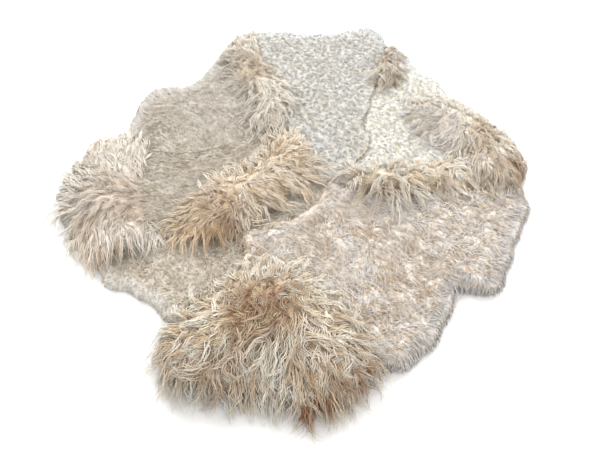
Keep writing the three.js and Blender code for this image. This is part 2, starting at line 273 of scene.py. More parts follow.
@dataclass(frozen=True)
class LockFinish:
    """Undyed wool in strands: darker at the root, bleached towards the tip.

    Each lock has its own tone from pale to golden. The wool is browner in a tuft's hollows, partly
    where its oldest grease stays and partly as painted shade there, and greyer at some tips, partly
    from weather-worn ends and partly as painted shade on a tuft's shaded fringes.
    """

    name: str
    slot: str
    root: str
    tip: str
    gold: str
    hollow: str
    grey: str
    coat: float = 0.62  # how far the strands are lit as one body
    streak: float = 7 * MM  # size of the streaks along them

    GREYING = 0.85  # how far the greyest tips turn grey

    def deep(self, gold: Array, hollow: Array, grey: Array) -> Array:
        """The linear colour between the strands, below their tips.

        Args:
            gold: of the strands there, as are the others.
            hollow: of the strands.
            grey: of the strands.

        Returns:
            One colour a row.
        """
        root, tip, golden, brown, greyed = (
            np.array(linear(c)[:3]) for c in (self.root, self.tip, self.gold, self.hollow, self.grey)
        )
        tips = tip + np.clip(gold, 0, 1)[:, None] * (golden - tip)
        tips = tips + self.GREYING * np.clip(grey, 0, 1)[:, None] * (greyed - tips)
        colour = 0.6 * root + 0.4 * tips
        # browner in the hollows: partly the roots' own colour, partly painted shade
        return colour + np.clip(hollow, 0, 1)[:, None] * (brown - colour)

    def material(self) -> bpy.types.Material:
        """Builds the procedural material."""
        s = Shader(self.name)
        along = s.carried("along")
        tips = s.mix(s.carried("gold"), linear(self.tip), linear(self.gold))
        # greyer tips: weather-worn ends, and painted shade on shaded fringes and on the ivory rim
        tips = s.mix(s.math("MULTIPLY", s.carried("grey"), self.GREYING), tips, linear(self.grey))
        colour = s.mix(s.ramp(along, 0.0, 0.5), linear(self.root), tips)
        # browner in the hollows, most of all near the root: partly the roots' own colour, partly painted
        # shade
        hollow = s.math("MULTIPLY", s.carried("hollow"), s.ramp(along, 0.3, 1.0, 1.0, 0.35))
        colour = s.mix(hollow, colour, linear(self.hollow))
        colour = s.streaked(colour, self.streak, 0.9, 1.06)
        normal = s.coat_normal(s.add("ShaderNodeNewGeometry").outputs["Normal"], self.coat)
        return s.finish(colour, normal, roughness=0.85, shine=0.15, sheen=0.2)


@dataclass(frozen=True)
class SuedeFinish:
    """Tanned suede, the flesh side of a sheepskin: matt, buffed in patches and finely napped."""

    name: str = "tanned_suede"
    light: str = "d9c6a8"
    dark: str = "bfa682"
    patch_size: float = 60 * MM
    nap: float = 1.4 * MM  # drawn coarser than the real nap of about 0.3 mm, so that it shows

    def material(self) -> bpy.types.Material:
        """Builds the procedural material."""
        s = Shader(self.name)
        patches = s.ramp(s.noise(self.patch_size, 4.0), 0.35, 0.65)
        colour = s.mix(patches, linear(self.dark), linear(self.light))
        normal = s.bump(s.noise(self.nap, 3.0), 0.35, 0.6 * MM)
        return s.finish(colour, normal, roughness=0.88, shine=0.2, sheen=0.2)


# The rug's plan


@dataclass(frozen=True)
class Crop:
    """Short wool: how its curls grow, with sizes in mm.

    Attributes:
        spacing: between two curls.
        length: of a curl from root to tip in a straight line.
        swing: how wide it curls to each side.
        turns: how many times it curls.
        thick: its width at the root.
        combed: share of it that lies with the flow of the skin and not any way.
        clump: width of a clump whose curls lie the same way.
    """

    spacing: float
    length: float
    swing: float
    turns: float
    thick: float
    combed: float
    clump: float


class Cut(Enum):
    """How the wool of a skin was finished, with the curls that this leaves."""

    CRISP = Crop(spacing=14.2, length=19, swing=5.0, turns=1.1, thick=4.2, combed=0.35, clump=46)
    TIGHT = Crop(spacing=13.4, length=16, swing=4.6, turns=1.1, thick=4.0, combed=0.3, clump=42)
    SOFT = Crop(spacing=13.8, length=26, swing=3.2, turns=0.9, thick=3.0, combed=0.65, clump=70)
    LOOSE = Crop(spacing=13.4, length=34, swing=4.6, turns=0.9, thick=3.5, combed=0.55, clump=72)


@dataclass(frozen=True)
class SkinPlan:
    """One skin, with its sizes in mm.

    Attributes:
        node: the solid that the skin replaces.
        pile: height of its wool.
        swell: height of the small lumps in it, over and above the solid's own.
        cut: how the wool was finished, or None where all of it was left long.
        relief: depth of the pits between the curls of the underwool.
        curl: distance from one curl to the next.
        stretch: how much longer than wide a curl of the underwool is, along the lean.
        mesh: spacing of the underwool's points.
        seam: height of the wool right at a sewn edge, as a share of the pile.
        valley: how far in from a sewn edge the wool is lower.
        proud: how far the wool bulges over its neighbour at a sewn edge.
        lean: which way the wool lies, in plan.
        brush: how many combed strands line its free rim.
        underwool: finish of the matted wool.
        locks: finish of the curls.
    """

    node: str
    pile: float
    swell: float
    cut: Cut | None
    relief: float
    curl: float
    stretch: float
    mesh: float
    seam: float
    valley: float
    proud: float
    lean: tuple[float, float]
    brush: int
    underwool: UnderwoolFinish
    locks: LockFinish


@dataclass(frozen=True)
class Patch:
    """How the wool grows around one place of a tuft.

    Attributes:
        x: the place in plan, in mm, and y too.
        dx: the way that the wool falls, and dy too.
        length: of the wool, in mm.
        gold: from 0, the tuft's palest wool, to 1, its most golden.
        hollow: how far the wool parts to its brown roots, partly painted shade in the hollows.
        grey: how grey its tips are, from weather-worn ends and, on a tuft's shaded fringes, from painted
            shade.
    """

    x: float
    y: float
    dx: float
    dy: float
    length: float
    gold: float = 0.0
    hollow: float = 0.0
    grey: float = 0.0


@dataclass(frozen=True)
class Coat:
    """One growth of long wool: a dense inner one or a longer, sparser outer one.

    Attributes:
        name: of the coat.
        locks: how many.
        strands: in a lock.
        length: as a share of the tuft's own.
        lift: how far a lock rises before it falls, as a share of its length.
        thick: width of a strand at its root, in mm.
        steps: points along a strand.
        spread: how far apart a lock's tips stay, as a share of its roots.
        stray: how far it strays from the lie of the tuft.
    """

    name: str
    locks: int
    strands: int
    length: float
    lift: float
    thick: float
    steps: int
    spread: float = 0.45
    stray: float = 0.3


@dataclass(frozen=True)
class TuftPlan:
    """Wool that was left unshorn, with its places and sizes in mm.

    Attributes:
        name: of the tuft.
        skin: the node that it grows on.
        spine: places that the crest of the ridge passes.
        height: of the ridge over the pile.
        reach: of the ridge to each side.
        spread: how far from the spine long wool still grows.
        hang: how far the wool hangs past the rim.
        crimp: how wavy and unruly the wool is, 1 where it is as on most of the rug.
        coats: what grows.
        patches: how the wool lies and looks from place to place.
        finish: colours of the wool.
    """

    name: str
    skin: str
    spine: tuple[tuple[float, float], ...]
    height: float
    reach: float
    spread: float
    hang: float
    crimp: float
    coats: tuple[Coat, ...]
    patches: tuple[Patch, ...]
    finish: LockFinish


EVEN = {"wisp": 9 * MM, "contrast": 0.6, "bump": 0.25, "coat": 0.75}  # curls that hardly part
FINE_NAP = {"wisp": 6.5 * MM, "twist": 0.7, "contrast": 0.8}

WHITE_UNDERWOOL = UnderwoolFinish(
    "white_underwool", crest="cbcbc9", pit="b7af9f", patch="c3c1bb", rim="d1d2d1", **EVEN
)
CREAM_UNDERWOOL = UnderwoolFinish(
    "cream_underwool", crest="e0e0dc", pit="c8beab", patch="d9d6cd", rim="e3e3e0", **EVEN
)
# its rim colour is darker than its crest: painted shade on the skin's rounded free rim, which the roll beside
# its seam takes in part
IVORY_UNDERWOOL = UnderwoolFinish(
    "ivory_underwool", crest="e4ded8", pit="b39d82", patch="d4c8ba", rim="c4c1be",
    wisp=10 * MM, bump=0.3, coat=0.6,
)
GOLDEN_UNDERWOOL = UnderwoolFinish(
    "golden_underwool", crest="cdb89b", pit="9c8060", patch="bda68a", rim="c0b7aa"
)
TIGHT_UNDERWOOL = UnderwoolFinish(
    "tight_underwool", crest="d3cbbf", pit="a5957e", patch="cabfb0", rim="d6d1c8"
)
BEIGE_UNDERWOOL = UnderwoolFinish(
    "beige_underwool", crest="c3bbaf", pit="968975", patch="b6ac9e", rim="cfc9c1", **FINE_NAP
)
GREY_UNDERWOOL = UnderwoolFinish(
    "grey_underwool", crest="c4bdb3", pit="9b907f", patch="b9b1a5", rim="cfcbc5", **FINE_NAP
)

WHITE_CURLS = LockFinish(
    "white_curls", "white_wool", root="bdb8ae", tip="cfd0d0", gold="c3c1bb", hollow="b4a998",
    grey="d7d8d7", coat=0.88,
)
CREAM_CURLS = LockFinish(
    "cream_curls", "cream_wool", root="d7d1c2", tip="eaebe8", gold="dfdcd2", hollow="c8bba1",
    grey="ececea", coat=0.88,
)
# its grey is darker than its tips: painted shade on the curls and the brushed strands at the skin's free rim
IVORY_CURLS = LockFinish(
    "ivory_curls", "ivory_wool", root="d5c7b6", tip="f0ece8", gold="d8ccbe", hollow="b9a083",
    grey="c6c3c1", coat=0.84,
)
TIGHT_CURLS = LockFinish(
    "tight_curls", "cream_wool", root="c1b6a5", tip="dfd8cd", gold="cec3b4", hollow="b3a48d",
    grey="e4e0da", coat=0.8,
)
BEIGE_CURLS = LockFinish(
    "beige_curls", "beige_wool", root="aba191", tip="cac3b8", gold="b0a697", hollow="a19379",
    grey="dad6cf", coat=0.74,
)
GREY_CURLS = LockFinish(
    "grey_curls", "grey_wool", root="b0a799", tip="cec9bf", gold="b5ac9f", hollow="a4977f",
    grey="dedad4", coat=0.74,
)
GOLDEN_LOCKS = LockFinish(
    "golden_locks", "golden_wool", root="c8a883", tip="fffaec", gold="f3dcb2", hollow="8b6045", grey="dcd8d0",
)
TAN_LOCKS = LockFinish(
    "tan_locks", "beige_wool", root="d3b791", tip="fbf0de", gold="edcca4", hollow="8f6a4c", grey="e0d3c8",
)
FAWN_LOCKS = LockFinish(
    "fawn_locks", "beige_wool", root="eadbc6", tip="fffbf1", gold="f7e2c6", hollow="a78b78", grey="ece2da",
)
HONEY_LOCKS = LockFinish(
    "honey_locks", "cream_wool", root="dacaae", tip="fdf9f0", gold="f5e1c0", hollow="8c6746", grey="efe8e4",
)
PALE_LOCKS = LockFinish(
    "pale_locks", "grey_wool", root="cfc0aa", tip="f2ece1", gold="dfceb2", hollow="8e7a62", grey="e8e4dd",
)

SKINS = (
    SkinPlan(
        "skin_top", 44, 2, Cut.CRISP, relief=5.5, curl=22, stretch=1.2, mesh=6.6, seam=0.92, valley=18,
        proud=8, lean=(0.9, -0.3), brush=0, underwool=WHITE_UNDERWOOL, locks=WHITE_CURLS,
    ),
    SkinPlan(
        "skin_upper_right", 33, 2, Cut.TIGHT, relief=4.5, curl=20, stretch=1.3, mesh=6.6, seam=0.87,
        valley=30, proud=1, lean=(0.9, 0.2), brush=0, underwool=CREAM_UNDERWOOL, locks=CREAM_CURLS,
    ),
    SkinPlan(
        "skin_lower_right", 46, 5, Cut.LOOSE, relief=7, curl=34, stretch=1.9, mesh=7.4, seam=0.93, valley=14,
        proud=2.5, lean=(0.7, -0.5), brush=760, underwool=IVORY_UNDERWOOL, locks=IVORY_CURLS,
    ),
    SkinPlan(
        "skin_bottom", 56, 2, None, relief=9, curl=30, stretch=1.6, mesh=9, seam=0.95, valley=14, proud=3,
        lean=(0.0, -1.0), brush=0, underwool=GOLDEN_UNDERWOOL, locks=GOLDEN_LOCKS,
    ),
    SkinPlan(
        "skin_lower_left", 32, 2, Cut.TIGHT, relief=5.5, curl=18, stretch=1.2, mesh=6.2, seam=0.86, valley=12,
        proud=2, lean=(-0.5, -0.5), brush=0, underwool=TIGHT_UNDERWOOL, locks=TIGHT_CURLS,
    ),
    SkinPlan(
        "skin_left", 36, 2, Cut.SOFT, relief=4.5, curl=20, stretch=2.9, mesh=7.2, seam=0.93, valley=12,
        proud=2.5, lean=(-0.95, -0.2), brush=0, underwool=BEIGE_UNDERWOOL, locks=BEIGE_CURLS,
    ),
    SkinPlan(
        "skin_upper_left", 38, 2.5, Cut.SOFT, relief=5.5, curl=22, stretch=2.3, mesh=7.2, seam=0.95,
        valley=12, proud=2.5, lean=(-0.8, 0.35), brush=0, underwool=GREY_UNDERWOOL, locks=GREY_CURLS,
    ),
)


def fill(locks: int, length: float, stray: float) -> Coat:
    """The short, thick coat that fills a tuft under its long ones."""
    return Coat("fill", locks, 5, length, 0.5, 4.2, 5, 0.8, stray)


TUFTS = (
    TuftPlan(
        "left", "skin_left", ((-800, 110), (-792, -40), (-770, -190), (-690, -350)),
        height=50, reach=120, spread=175, hang=84, crimp=0.5,
        coats=(
            Coat("long", 290, 7, 1.0, 0.36, 2.5, 6, 0.5),
            fill(90, 0.5, 2.0),
        ),
        patches=(
            Patch(-890, 100, -0.3, 1.0, 80, 0.15, 0.0, 0.1),
            Patch(-800, 60, -0.1, 1.0, 80, 0.2),
            Patch(-940, -20, -0.7, 0.7, 90, 0.1),
            Patch(-860, -50, -0.5, 0.6, 95, 0.1),
            Patch(-780, -20, -0.2, 0.8, 80, 0.1, 0.1, 0.2),
            Patch(-765, -110, -0.5, -0.1, 55, 0.2, 0.6, 0.4),
            Patch(-870, -140, -0.9, 0.1, 110, 0.2, 0.0, 0.4),
            Patch(-960, -130, -1.0, 0.0, 125, 0.15),
            Patch(-980, -250, -0.9, -0.4, 115, 0.45),
            Patch(-880, -250, -0.8, -0.5, 110, 0.4, 0.0, 0.3),
            Patch(-800, -200, -0.6, -0.5, 100, 0.3, 0.0, 0.7),
            Patch(-760, -240, -0.2, -0.7, 60, 0.5, 0.6),
            Patch(-790, -290, -0.2, -1.0, 90, 0.9, 0.25),
            Patch(-860, -360, -0.5, -0.9, 100, 0.6),
            Patch(-740, -330, 0.3, -0.9, 110, 0.1, 0.0, 0.5),
            Patch(-720, -430, 0.0, -1.0, 80, 1.0, 0.2),
            Patch(-780, -420, -0.2, -1.0, 80, 0.9),
        ),
        finish=FAWN_LOCKS,
    ),
    TuftPlan(
        "middle", "skin_left", ((-34, 96), (-84, -14), (-180, -100), (-288, -168), (-352, -286)),
        height=56, reach=124, spread=140, hang=20, crimp=0.65,
        coats=(
            Coat("long", 290, 7, 1.0, 0.36, 2.5, 6, 0.5),
            fill(100, 0.5, 2.0),
        ),
        patches=(
            Patch(-80, 140, -0.2, 0.9, 85, 0.1),
            Patch(-10, 130, 0.2, 0.9, 85, 0.15),
            Patch(-150, 60, -0.4, 0.8, 90, 0.05),
            Patch(-60, 30, 0.5, -0.2, 75, 0.35, 0.25),
            Patch(30, 60, 0.8, 0.2, 80, 0.15),
            Patch(60, -30, 0.9, -0.3, 110, 0.25),
            Patch(90, -70, 0.9, -0.4, 120, 0.4),
            Patch(-90, -50, 0.7, -0.3, 110, 0.1),
            Patch(-230, -10, -0.4, 0.9, 80, 0.05),
            Patch(-170, -60, 0.1, 0.3, 80, 0.1),
            Patch(-310, -90, -0.6, 0.7, 80, 0.15),
            Patch(-160, -140, 0.8, -0.3, 110, 0.0),
            Patch(-200, -200, 0.4, -0.8, 90, 0.1),
            Patch(-120, -170, 0.6, -0.5, 80, 0.4, 0.25),
            Patch(-40, -150, 0.8, -0.5, 90, 0.5),
            Patch(-300, -215, -0.1, 0.1, 55, 0.2, 0.55, 0.6),
            Patch(-380, -230, -0.9, 0.0, 85, 0.5),
            Patch(-330, -270, -0.5, -0.6, 60, 0.5, 0.6),
            Patch(-270, -300, 0.2, -0.9, 70, 0.6, 0.6),
            Patch(-350, -350, -0.1, -1.0, 100, 0.7),
            Patch(-300, -390, 0.0, -1.0, 100, 1.0),
            Patch(-400, -400, -0.3, -1.0, 90, 0.7),
            Patch(-340, -450, 0.0, -1.0, 90, 0.9),
            Patch(-250, -350, 0.3, -0.9, 90, 0.5, 0.2),
        ),
        finish=TAN_LOCKS,
    ),
    TuftPlan(
        "far_left", "skin_upper_left", ((-262, 880), (-222, 700), (-150, 560), (-105, 420), (-120, 335)),
        height=36, reach=105, spread=140, hang=16, crimp=0.6,
        coats=(
            Coat("long", 165, 7, 1.1, 0.36, 2.6, 7, 0.5),
            fill(60, 0.5, 1.3),
        ),
        patches=(
            Patch(-260, 840, -0.3, 0.6, 45, 0.2, 0.0, 0.3),
            Patch(-320, 720, -0.9, 0.2, 100, 0.3, 0.25),
            Patch(-200, 700, 0.0, 0.8, 50, 0.5, 0.3),
            Patch(-190, 640, 0.1, -0.2, 45, 0.9, 0.7),
            Patch(-290, 600, -0.9, -0.2, 115, 0.35),
            Patch(-130, 620, 0.8, 0.1, 60, 0.2),
            Patch(-240, 520, -0.6, -0.6, 100, 0.1, 0.35),
            Patch(-150, 520, 0.5, -0.6, 80, 0.1),
            Patch(-180, 430, -0.5, -0.7, 90, 0.05),
            Patch(-90, 400, 0.7, -0.4, 90, 0.05, 0.0, 0.3),
            Patch(-280, 430, -0.7, -0.3, 80, 0.2, 0.4),
            Patch(-130, 320, -0.2, -0.9, 80, 0.1, 0.25),
            Patch(-60, 280, 0.5, -0.7, 70, 0.1),
        ),
        finish=PALE_LOCKS,
    ),
    TuftPlan(
        "right", "skin_upper_right", ((640, 330), (735, 225), (820, 130), (850, 10)),
        height=66, reach=150, spread=165, hang=14, crimp=0.65,
        coats=(
            Coat("long", 275, 7, 1.0, 0.34, 2.6, 6, 0.5),
            fill(90, 0.6, 2.0),
        ),
        patches=(
            Patch(660, 390, -0.3, 0.9, 60, 0.1),
            Patch(740, 370, 0.0, 1.0, 65, 0.15),
            Patch(830, 270, 0.5, 0.8, 65, 0.2),
            Patch(890, 180, 0.8, 0.5, 70, 0.1),
            Patch(800, 190, 0.1, -0.5, 45, 0.8, 1.0),
            Patch(846, 140, 0.3, -0.5, 60, 0.5, 0.3),
            Patch(620, 300, -0.9, 0.2, 60, 0.1, 0.0, 0.9),
            Patch(700, 260, -0.4, -0.4, 60, 0.1, 0.0, 0.8),
            Patch(620, 180, -0.8, -0.4, 60, 0.1, 0.0, 0.9),
            Patch(740, 180, -0.2, -0.7, 60, 0.2, 0.0, 0.7),
            Patch(780, 60, -0.1, -0.7, 60, 0.5, 0.5),
            Patch(930, 70, 0.8, 0.0, 80, 0.2, 0.2),
            Patch(910, 10, 0.5, -0.6, 60, 0.6, 0.9),
            Patch(700, 80, -0.5, -0.5, 80, 0.3, 0.3),
            Patch(600, 60, -0.8, -0.4, 80, 0.3, 0.0, 0.3),
            Patch(860, 100, 0.3, -0.5, 80, 0.2),
            Patch(830, -20, 0.2, -0.9, 80, 0.3, 0.35),
            Patch(970, -20, 0.7, -0.6, 60, 0.3, 0.5),
            Patch(740, 0, -0.2, -0.9, 90, 0.3, 0.45),
        ),
        finish=HONEY_LOCKS,
    ),
    TuftPlan(
        "band", "skin_upper_right", ((190, -60), (300, -62), (420, -58), (560, -46), (720, -18)),
        height=46, reach=92, spread=112, hang=60, crimp=1.2,
        coats=(
            Coat("long", 140, 7, 1.15, 0.4, 3.0, 8, 0.4),
            fill(60, 0.6, 1.3),
        ),
        patches=(
            Patch(190, -50, -0.8, -0.1, 60, 0.1, 0.0, 0.4),
            Patch(280, -20, -0.2, 0.6, 50, 0.25),
            # the hollows of the band's lower fringe are deeper: painted shade where the band hangs over the
            # skin below
            Patch(270, -100, -0.2, -1.0, 150, 0.3, 0.3),
            Patch(345, -75, 0.0, -1.0, 165, 0.3, 0.1),
            Patch(230, -160, -0.2, -1.0, 120, 0.3, 0.4),
            Patch(330, -150, 0.0, -1.0, 135, 0.4, 0.6),
            Patch(400, -20, 0.1, 0.7, 50, 0.3),
            Patch(410, -140, 0.2, -0.9, 150, 0.4, 0.55),
            Patch(480, -80, 0.3, -0.6, 90, 0.4, 0.2),
            Patch(520, -20, 0.2, 0.8, 40, 0.6),
            Patch(560, -110, 0.4, -0.7, 80, 0.5, 0.5),
            Patch(640, -70, 0.6, -0.4, 70, 0.4),
            Patch(660, -130, 0.5, -0.8, 70, 0.5),
            Patch(740, -60, 0.6, -0.5, 60, 0.4),
        ),
        finish=HONEY_LOCKS,
    ),
    TuftPlan(
        "far_right", "skin_upper_right", ((458, 790), (420, 650)),
        height=40, reach=86, spread=100, hang=14, crimp=0.9,
        coats=(
            Coat("long", 60, 7, 1.0, 0.4, 3.0, 7, 0.5),
            fill(25, 0.6, 1.3),
        ),
        patches=(
            Patch(430, 760, 0.0, 0.1, 45, 0.1, 1.0, 0.5),
            Patch(380, 800, -0.6, 0.7, 50, 0.1, 0.0, 0.5),
            Patch(480, 820, 0.5, 0.7, 50, 0.1, 0.0, 0.4),
            Patch(360, 720, -0.9, -0.1, 85, 0.1, 0.0, 0.5),
            Patch(500, 740, 0.9, 0.0, 60, 0.1, 0.0, 0.3),
            Patch(400, 650, -0.3, -0.8, 100, 0.3, 0.1, 0.4),
            Patch(440, 600, 0.1, -1.0, 80, 0.8, 0.4),
            Patch(520, 660, 0.7, -0.5, 60, 0.7),
        ),
        finish=PALE_LOCKS,
    ),
    TuftPlan(
        "bottom", "skin_bottom", ((-320, -790), (-232, -690), (-120, -625), (5, -670), (105, -790)),
        height=62, reach=190, spread=460, hang=82, crimp=1.0,
        coats=(
            Coat("inner", 350, 7, 0.8, 0.3, 3.1, 7, 0.4),
            Coat("outer", 265, 7, 1.1, 0.4, 2.5, 8, 0.3),
            fill(180, 0.4, 1.3),
        ),
        patches=(
            Patch(-150, -545, -0.1, 1.0, 80, 0.3, 0.0, 0.3),
            Patch(-215, -600, -0.7, 0.6, 90, 0.4, 0.05, 0.2),
            Patch(-170, -650, -0.5, -0.2, 60, 0.7, 0.85),
            Patch(-110, -620, 0.0, 0.3, 60, 0.8, 0.8),
            Patch(-60, -650, 0.2, -0.4, 70, 0.6, 0.7),
            Patch(-130, -680, -0.1, -0.6, 70, 0.7, 0.6),
            Patch(-10, -580, 0.6, 0.4, 95, 0.1),
            Patch(70, -610, 0.9, 0.1, 100, 0.05),
            Patch(40, -690, 0.7, -0.6, 110, 0.3, 0.35),
            Patch(120, -730, 0.9, -0.2, 120, 0.2, 0.1),
            Patch(170, -830, 0.8, -0.6, 110, 0.3, 0.2, 0.5),
            Patch(-300, -680, -0.9, 0.3, 115, 0.1),
            Patch(-370, -760, -0.9, -0.3, 120, 0.1),
            Patch(-270, -760, -0.6, -0.5, 100, 0.45, 0.3),
            Patch(-430, -850, -0.5, -0.8, 90, 0.2, 0.0, 0.8),
            Patch(-340, -850, -0.4, -0.9, 130, 0.3, 0.15, 0.2),
            Patch(-200, -830, -0.1, -1.0, 130, 0.45, 0.4),
            Patch(-80, -780, -0.1, -1.0, 140, 0.1),
            Patch(10, -800, 0.15, -1.0, 140, 0.35, 0.4),
            # on the near, lower fringe the tips are greyer, and browner at its right: painted shade along the
            # tuft's lower edge
            Patch(-160, -940, -0.1, -1.0, 120, 0.3, 0.15, 0.6),
            Patch(-300, -940, -0.2, -1.0, 110, 0.2, 0.1, 0.75),
            Patch(-40, -920, -0.1, -1.0, 110, 0.1, 0.1, 0.6),
            Patch(80, -880, 0.4, -0.9, 120, 0.4, 0.4),
            Patch(40, -990, 0.1, -1.0, 150, 0.5, 1.0),
            Patch(130, -960, 0.5, -0.8, 110, 0.4, 0.6),
            Patch(220, -860, 0.8, -0.5, 80, 0.3, 0.3, 0.7),
        ),
        finish=GOLDEN_LOCKS,
    ),
)

LOWER_LEFT_CORNER = (-745.0, -718.0)  # low corner in plan of the lower left skin, in the tables' millimetres
LUMP_HEIGHT = 6.0  # of the soft lumps in the pile, in mm
LUMP_LENGTH = 105.0
SWELL_LENGTH = 130.0  # from one swell of the pile to the next, in mm
RIM_ROUND = 24.0  # how far in from a free edge the pile is rounded, in mm
RIM_FLARE = 9.0  # how far the wool stands out past the hide, in mm
# near a free rim the wool takes its rim colour, which on the ivory skin is darker, a painted shade
PALE_REACH = 85.0  # how far in from a free rim the wool is paler, in mm
PATCH_REACH = 52.0  # how far a tuft's patches blend into each other, in mm
OUTLINE_STEP = 9.0  # between the points of an outline, in mm
RIDGE_STEP = 14.0  # between the points of a ridge's line, in mm
SEAM_GAP = 4.0  # outlines that run closer together than this are sewn, in mm
SCALLOPS = (  # of a sewn edge: how deep, and waves in radians a metre of x and y
    (0.45, (175.0, 205.0)),
    (0.5, (60.0, -75.0)),
)


@dataclass(frozen=True)
class Roll:
    """A soft roll of brushed-up pale wool beside a seam, with its sizes in mm."""

    skin: str
    spine: tuple[tuple[float, float], ...]
    height: float
    reach: float


ROLLS = (
    Roll("skin_lower_right", ((180, -115), (108, -172), (12, -250), (-76, -318), (-150, -368)), 7, 62),
)
ROLL_PALE = 0.35  # how far its wool is brushed up to the pale tone of a rim


def table_shift() -> Array:
    """How far the tables' places lie from the frame's, in metres, worked out from the frame."""
    low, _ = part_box("skin_lower_left")
    return np.array(low[:2]) - np.array(LOWER_LEFT_CORNER) * MM


SHIFT = table_shift()


def to_frame(places) -> Array:
    """Turns places in the tables' millimetres into the frame's metres."""
    return np.array(places, float) * MM + SHIFT


def catmull_rom(points: Array, step: float, closed: bool) -> Array:
    """A smooth line through points.

    Args:
        points: the places that it passes, one row each.
        step: about how far apart the new points are.
        closed: whether it runs back to its start.

    Returns:
        The new points, with the given ones among them.
    """
    count = len(points)
    made = []
    for i in range(count if closed else count - 1):
        if closed:
            a, b, c, d = (points[(i + k) % count] for k in (-1, 0, 1, 2))
        else:
            a, b, c, d = (points[min(max(i + k, 0), count - 1)] for k in (-1, 0, 1, 2))
        pieces = max(1, round(float(np.linalg.norm(c - b)) / step))
        t = np.arange(pieces)[:, None] / pieces
        made.append(0.5 * (
            2 * b + (c - a) * t + (2 * a - 5 * b + 4 * c - d) * t**2 + (3 * b - a - 3 * c + d) * t**3
        ))
    if not closed:
        made.append(points[-1:])
    return np.concatenate(made)


PAIRS_AT_ONCE = 2_000_000  # of a point and a line's piece, so that little memory is used


def nearest_on(points: Array, line: Array, closed: bool) -> tuple[Array, Array, Array]:
    """The nearest place on a line for each point.

    Args:
        points: places in plan.
        line: the line's points in plan.
        closed: whether the line runs back to its start.

    Returns:
        The distances, the nearest places, and the index of the line's piece that each lies on.
    """
    starts = line if closed else line[:-1]
    runs = (np.roll(line, -1, axis=0) if closed else line[1:]) - starts
    size = np.maximum((runs**2).sum(1), 1e-12)
    far, place, piece = [], [], []
    for some in np.array_split(points, max(1, len(points) * len(starts) // PAIRS_AT_ONCE)):
        to = some[:, None] - starts[None]
        t = np.clip((to * runs).sum(2) / size, 0, 1)
        foot = starts + t[..., None] * runs
        gap = np.linalg.norm(some[:, None] - foot, axis=2)
        best = gap.argmin(1)
        row = np.arange(len(some))
        far.append(gap[row, best])
        place.append(foot[row, best])
        piece.append(best)
    return np.concatenate(far), np.concatenate(place), np.concatenate(piece)


def inside(points: Array, loop: Array) -> Array:
    """Whether each point lies inside a closed loop in plan."""
    x, y = points[:, 0], points[:, 1]
    within = np.zeros(len(points), bool)
    for a, b in zip(loop, np.roll(loop, -1, axis=0)):
        if a[1] != b[1]:
            crosses = (a[1] > y) != (b[1] > y)
            within ^= crosses & (x < (b[0] - a[0]) * (y - a[1]) / (b[1] - a[1]) + a[0])
    return within


def floor_loop(node: str) -> Array:
    """The outline of a solid's underside, anticlockwise in plan."""
    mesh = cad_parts[node].data
    corners = np.round(np.array([v.co for v in mesh.vertices]), 6)
    points, index = np.unique(corners, axis=0, return_inverse=True)
    faces = np.array([[index.ravel()[v] for v in p.vertices] for p in mesh.polygons])
    on_floor = (points[faces][:, :, 2] < 0.01 * MM).all(1)
    ways = {}
    edges = {(a, b) for f in faces[on_floor] for a, b in zip(f, np.roll(f, -1))}
    for a, b in edges:
        if (b, a) not in edges:
            ways[b] = a  # an underside's faces run clockwise in plan
    loops = []
    while ways:
        start, at = ways.popitem()
        loop = [start]
        while at != start and at in ways:
            loop.append(at)
            at = ways.pop(at)
        loops.append(points[loop][:, :2])
    return max(loops, key=lambda loop: abs(signed_area(loop)))


def signed_area(loop: Array) -> float:
    """Area inside a loop in plan, positive where it runs anticlockwise."""
    after = np.roll(loop, -1, axis=0)
    return float((loop[:, 0] * after[:, 1] - after[:, 0] * loop[:, 1]).sum() / 2)


def unit(vectors: Array) -> Array:
    """Vectors of length 1 with the same directions."""
    return vectors / np.maximum(np.linalg.norm(vectors, axis=-1, keepdims=True), 1e-9)


def right_of(runs: Array) -> Array:
    """Headings a quarter turn clockwise of runs in plan, which is outwards along an anticlockwise loop."""
    return unit(np.stack([runs[:, 1], -runs[:, 0]], axis=1))


def lifted(points: Array, height: Array | float = 0.0) -> Array:
    """Places in plan with a height for all of them or for each."""
    return np.column_stack([points, np.broadcast_to(height, len(points))])


def smooth_step(value: Array, low: float, high: float) -> Array:
    """A soft rise from 0 at low to 1 at high."""
    t = np.clip((value - low) / (high - low), 0, 1)
    return t * t * (3 - 2 * t)


def chance(corners: Array) -> Array:
    """A number from 0 to 1 for each corner of a grid, the same on each run."""
    seed = np.sin(corners @ np.array([127.1, 311.7])) * 43758.5453
    return seed - np.floor(seed)


def ripple(points: Array, length: float) -> Array:
    """Soft uneven waves in plan.

    Args:
        points: the places.
        length: about how far it is from one crest to the next.

    Returns:
        A height from -1 to 1 at each place.
    """
    height = np.zeros(len(points))
    for turn, finer, share in ((0.5, 1.0, 1.15), (1.7, 1.9, 0.55)):
        spin = np.array([[math.cos(turn), -math.sin(turn)], [math.sin(turn), math.cos(turn)]])
        cell = points @ spin * (2 * finer / length) + 40 * finer
        base = np.floor(cell)
        x, y = smooth_step(cell - base, 0, 1).T
        a, b, c, d = (chance(base + corner) for corner in ((0, 0), (1, 0), (0, 1), (1, 1)))
        height += share * (2 * ((a * (1 - x) + b * x) * (1 - y) + (c * (1 - x) + d * x) * y) - 1)
    return np.clip(height, -1, 1)


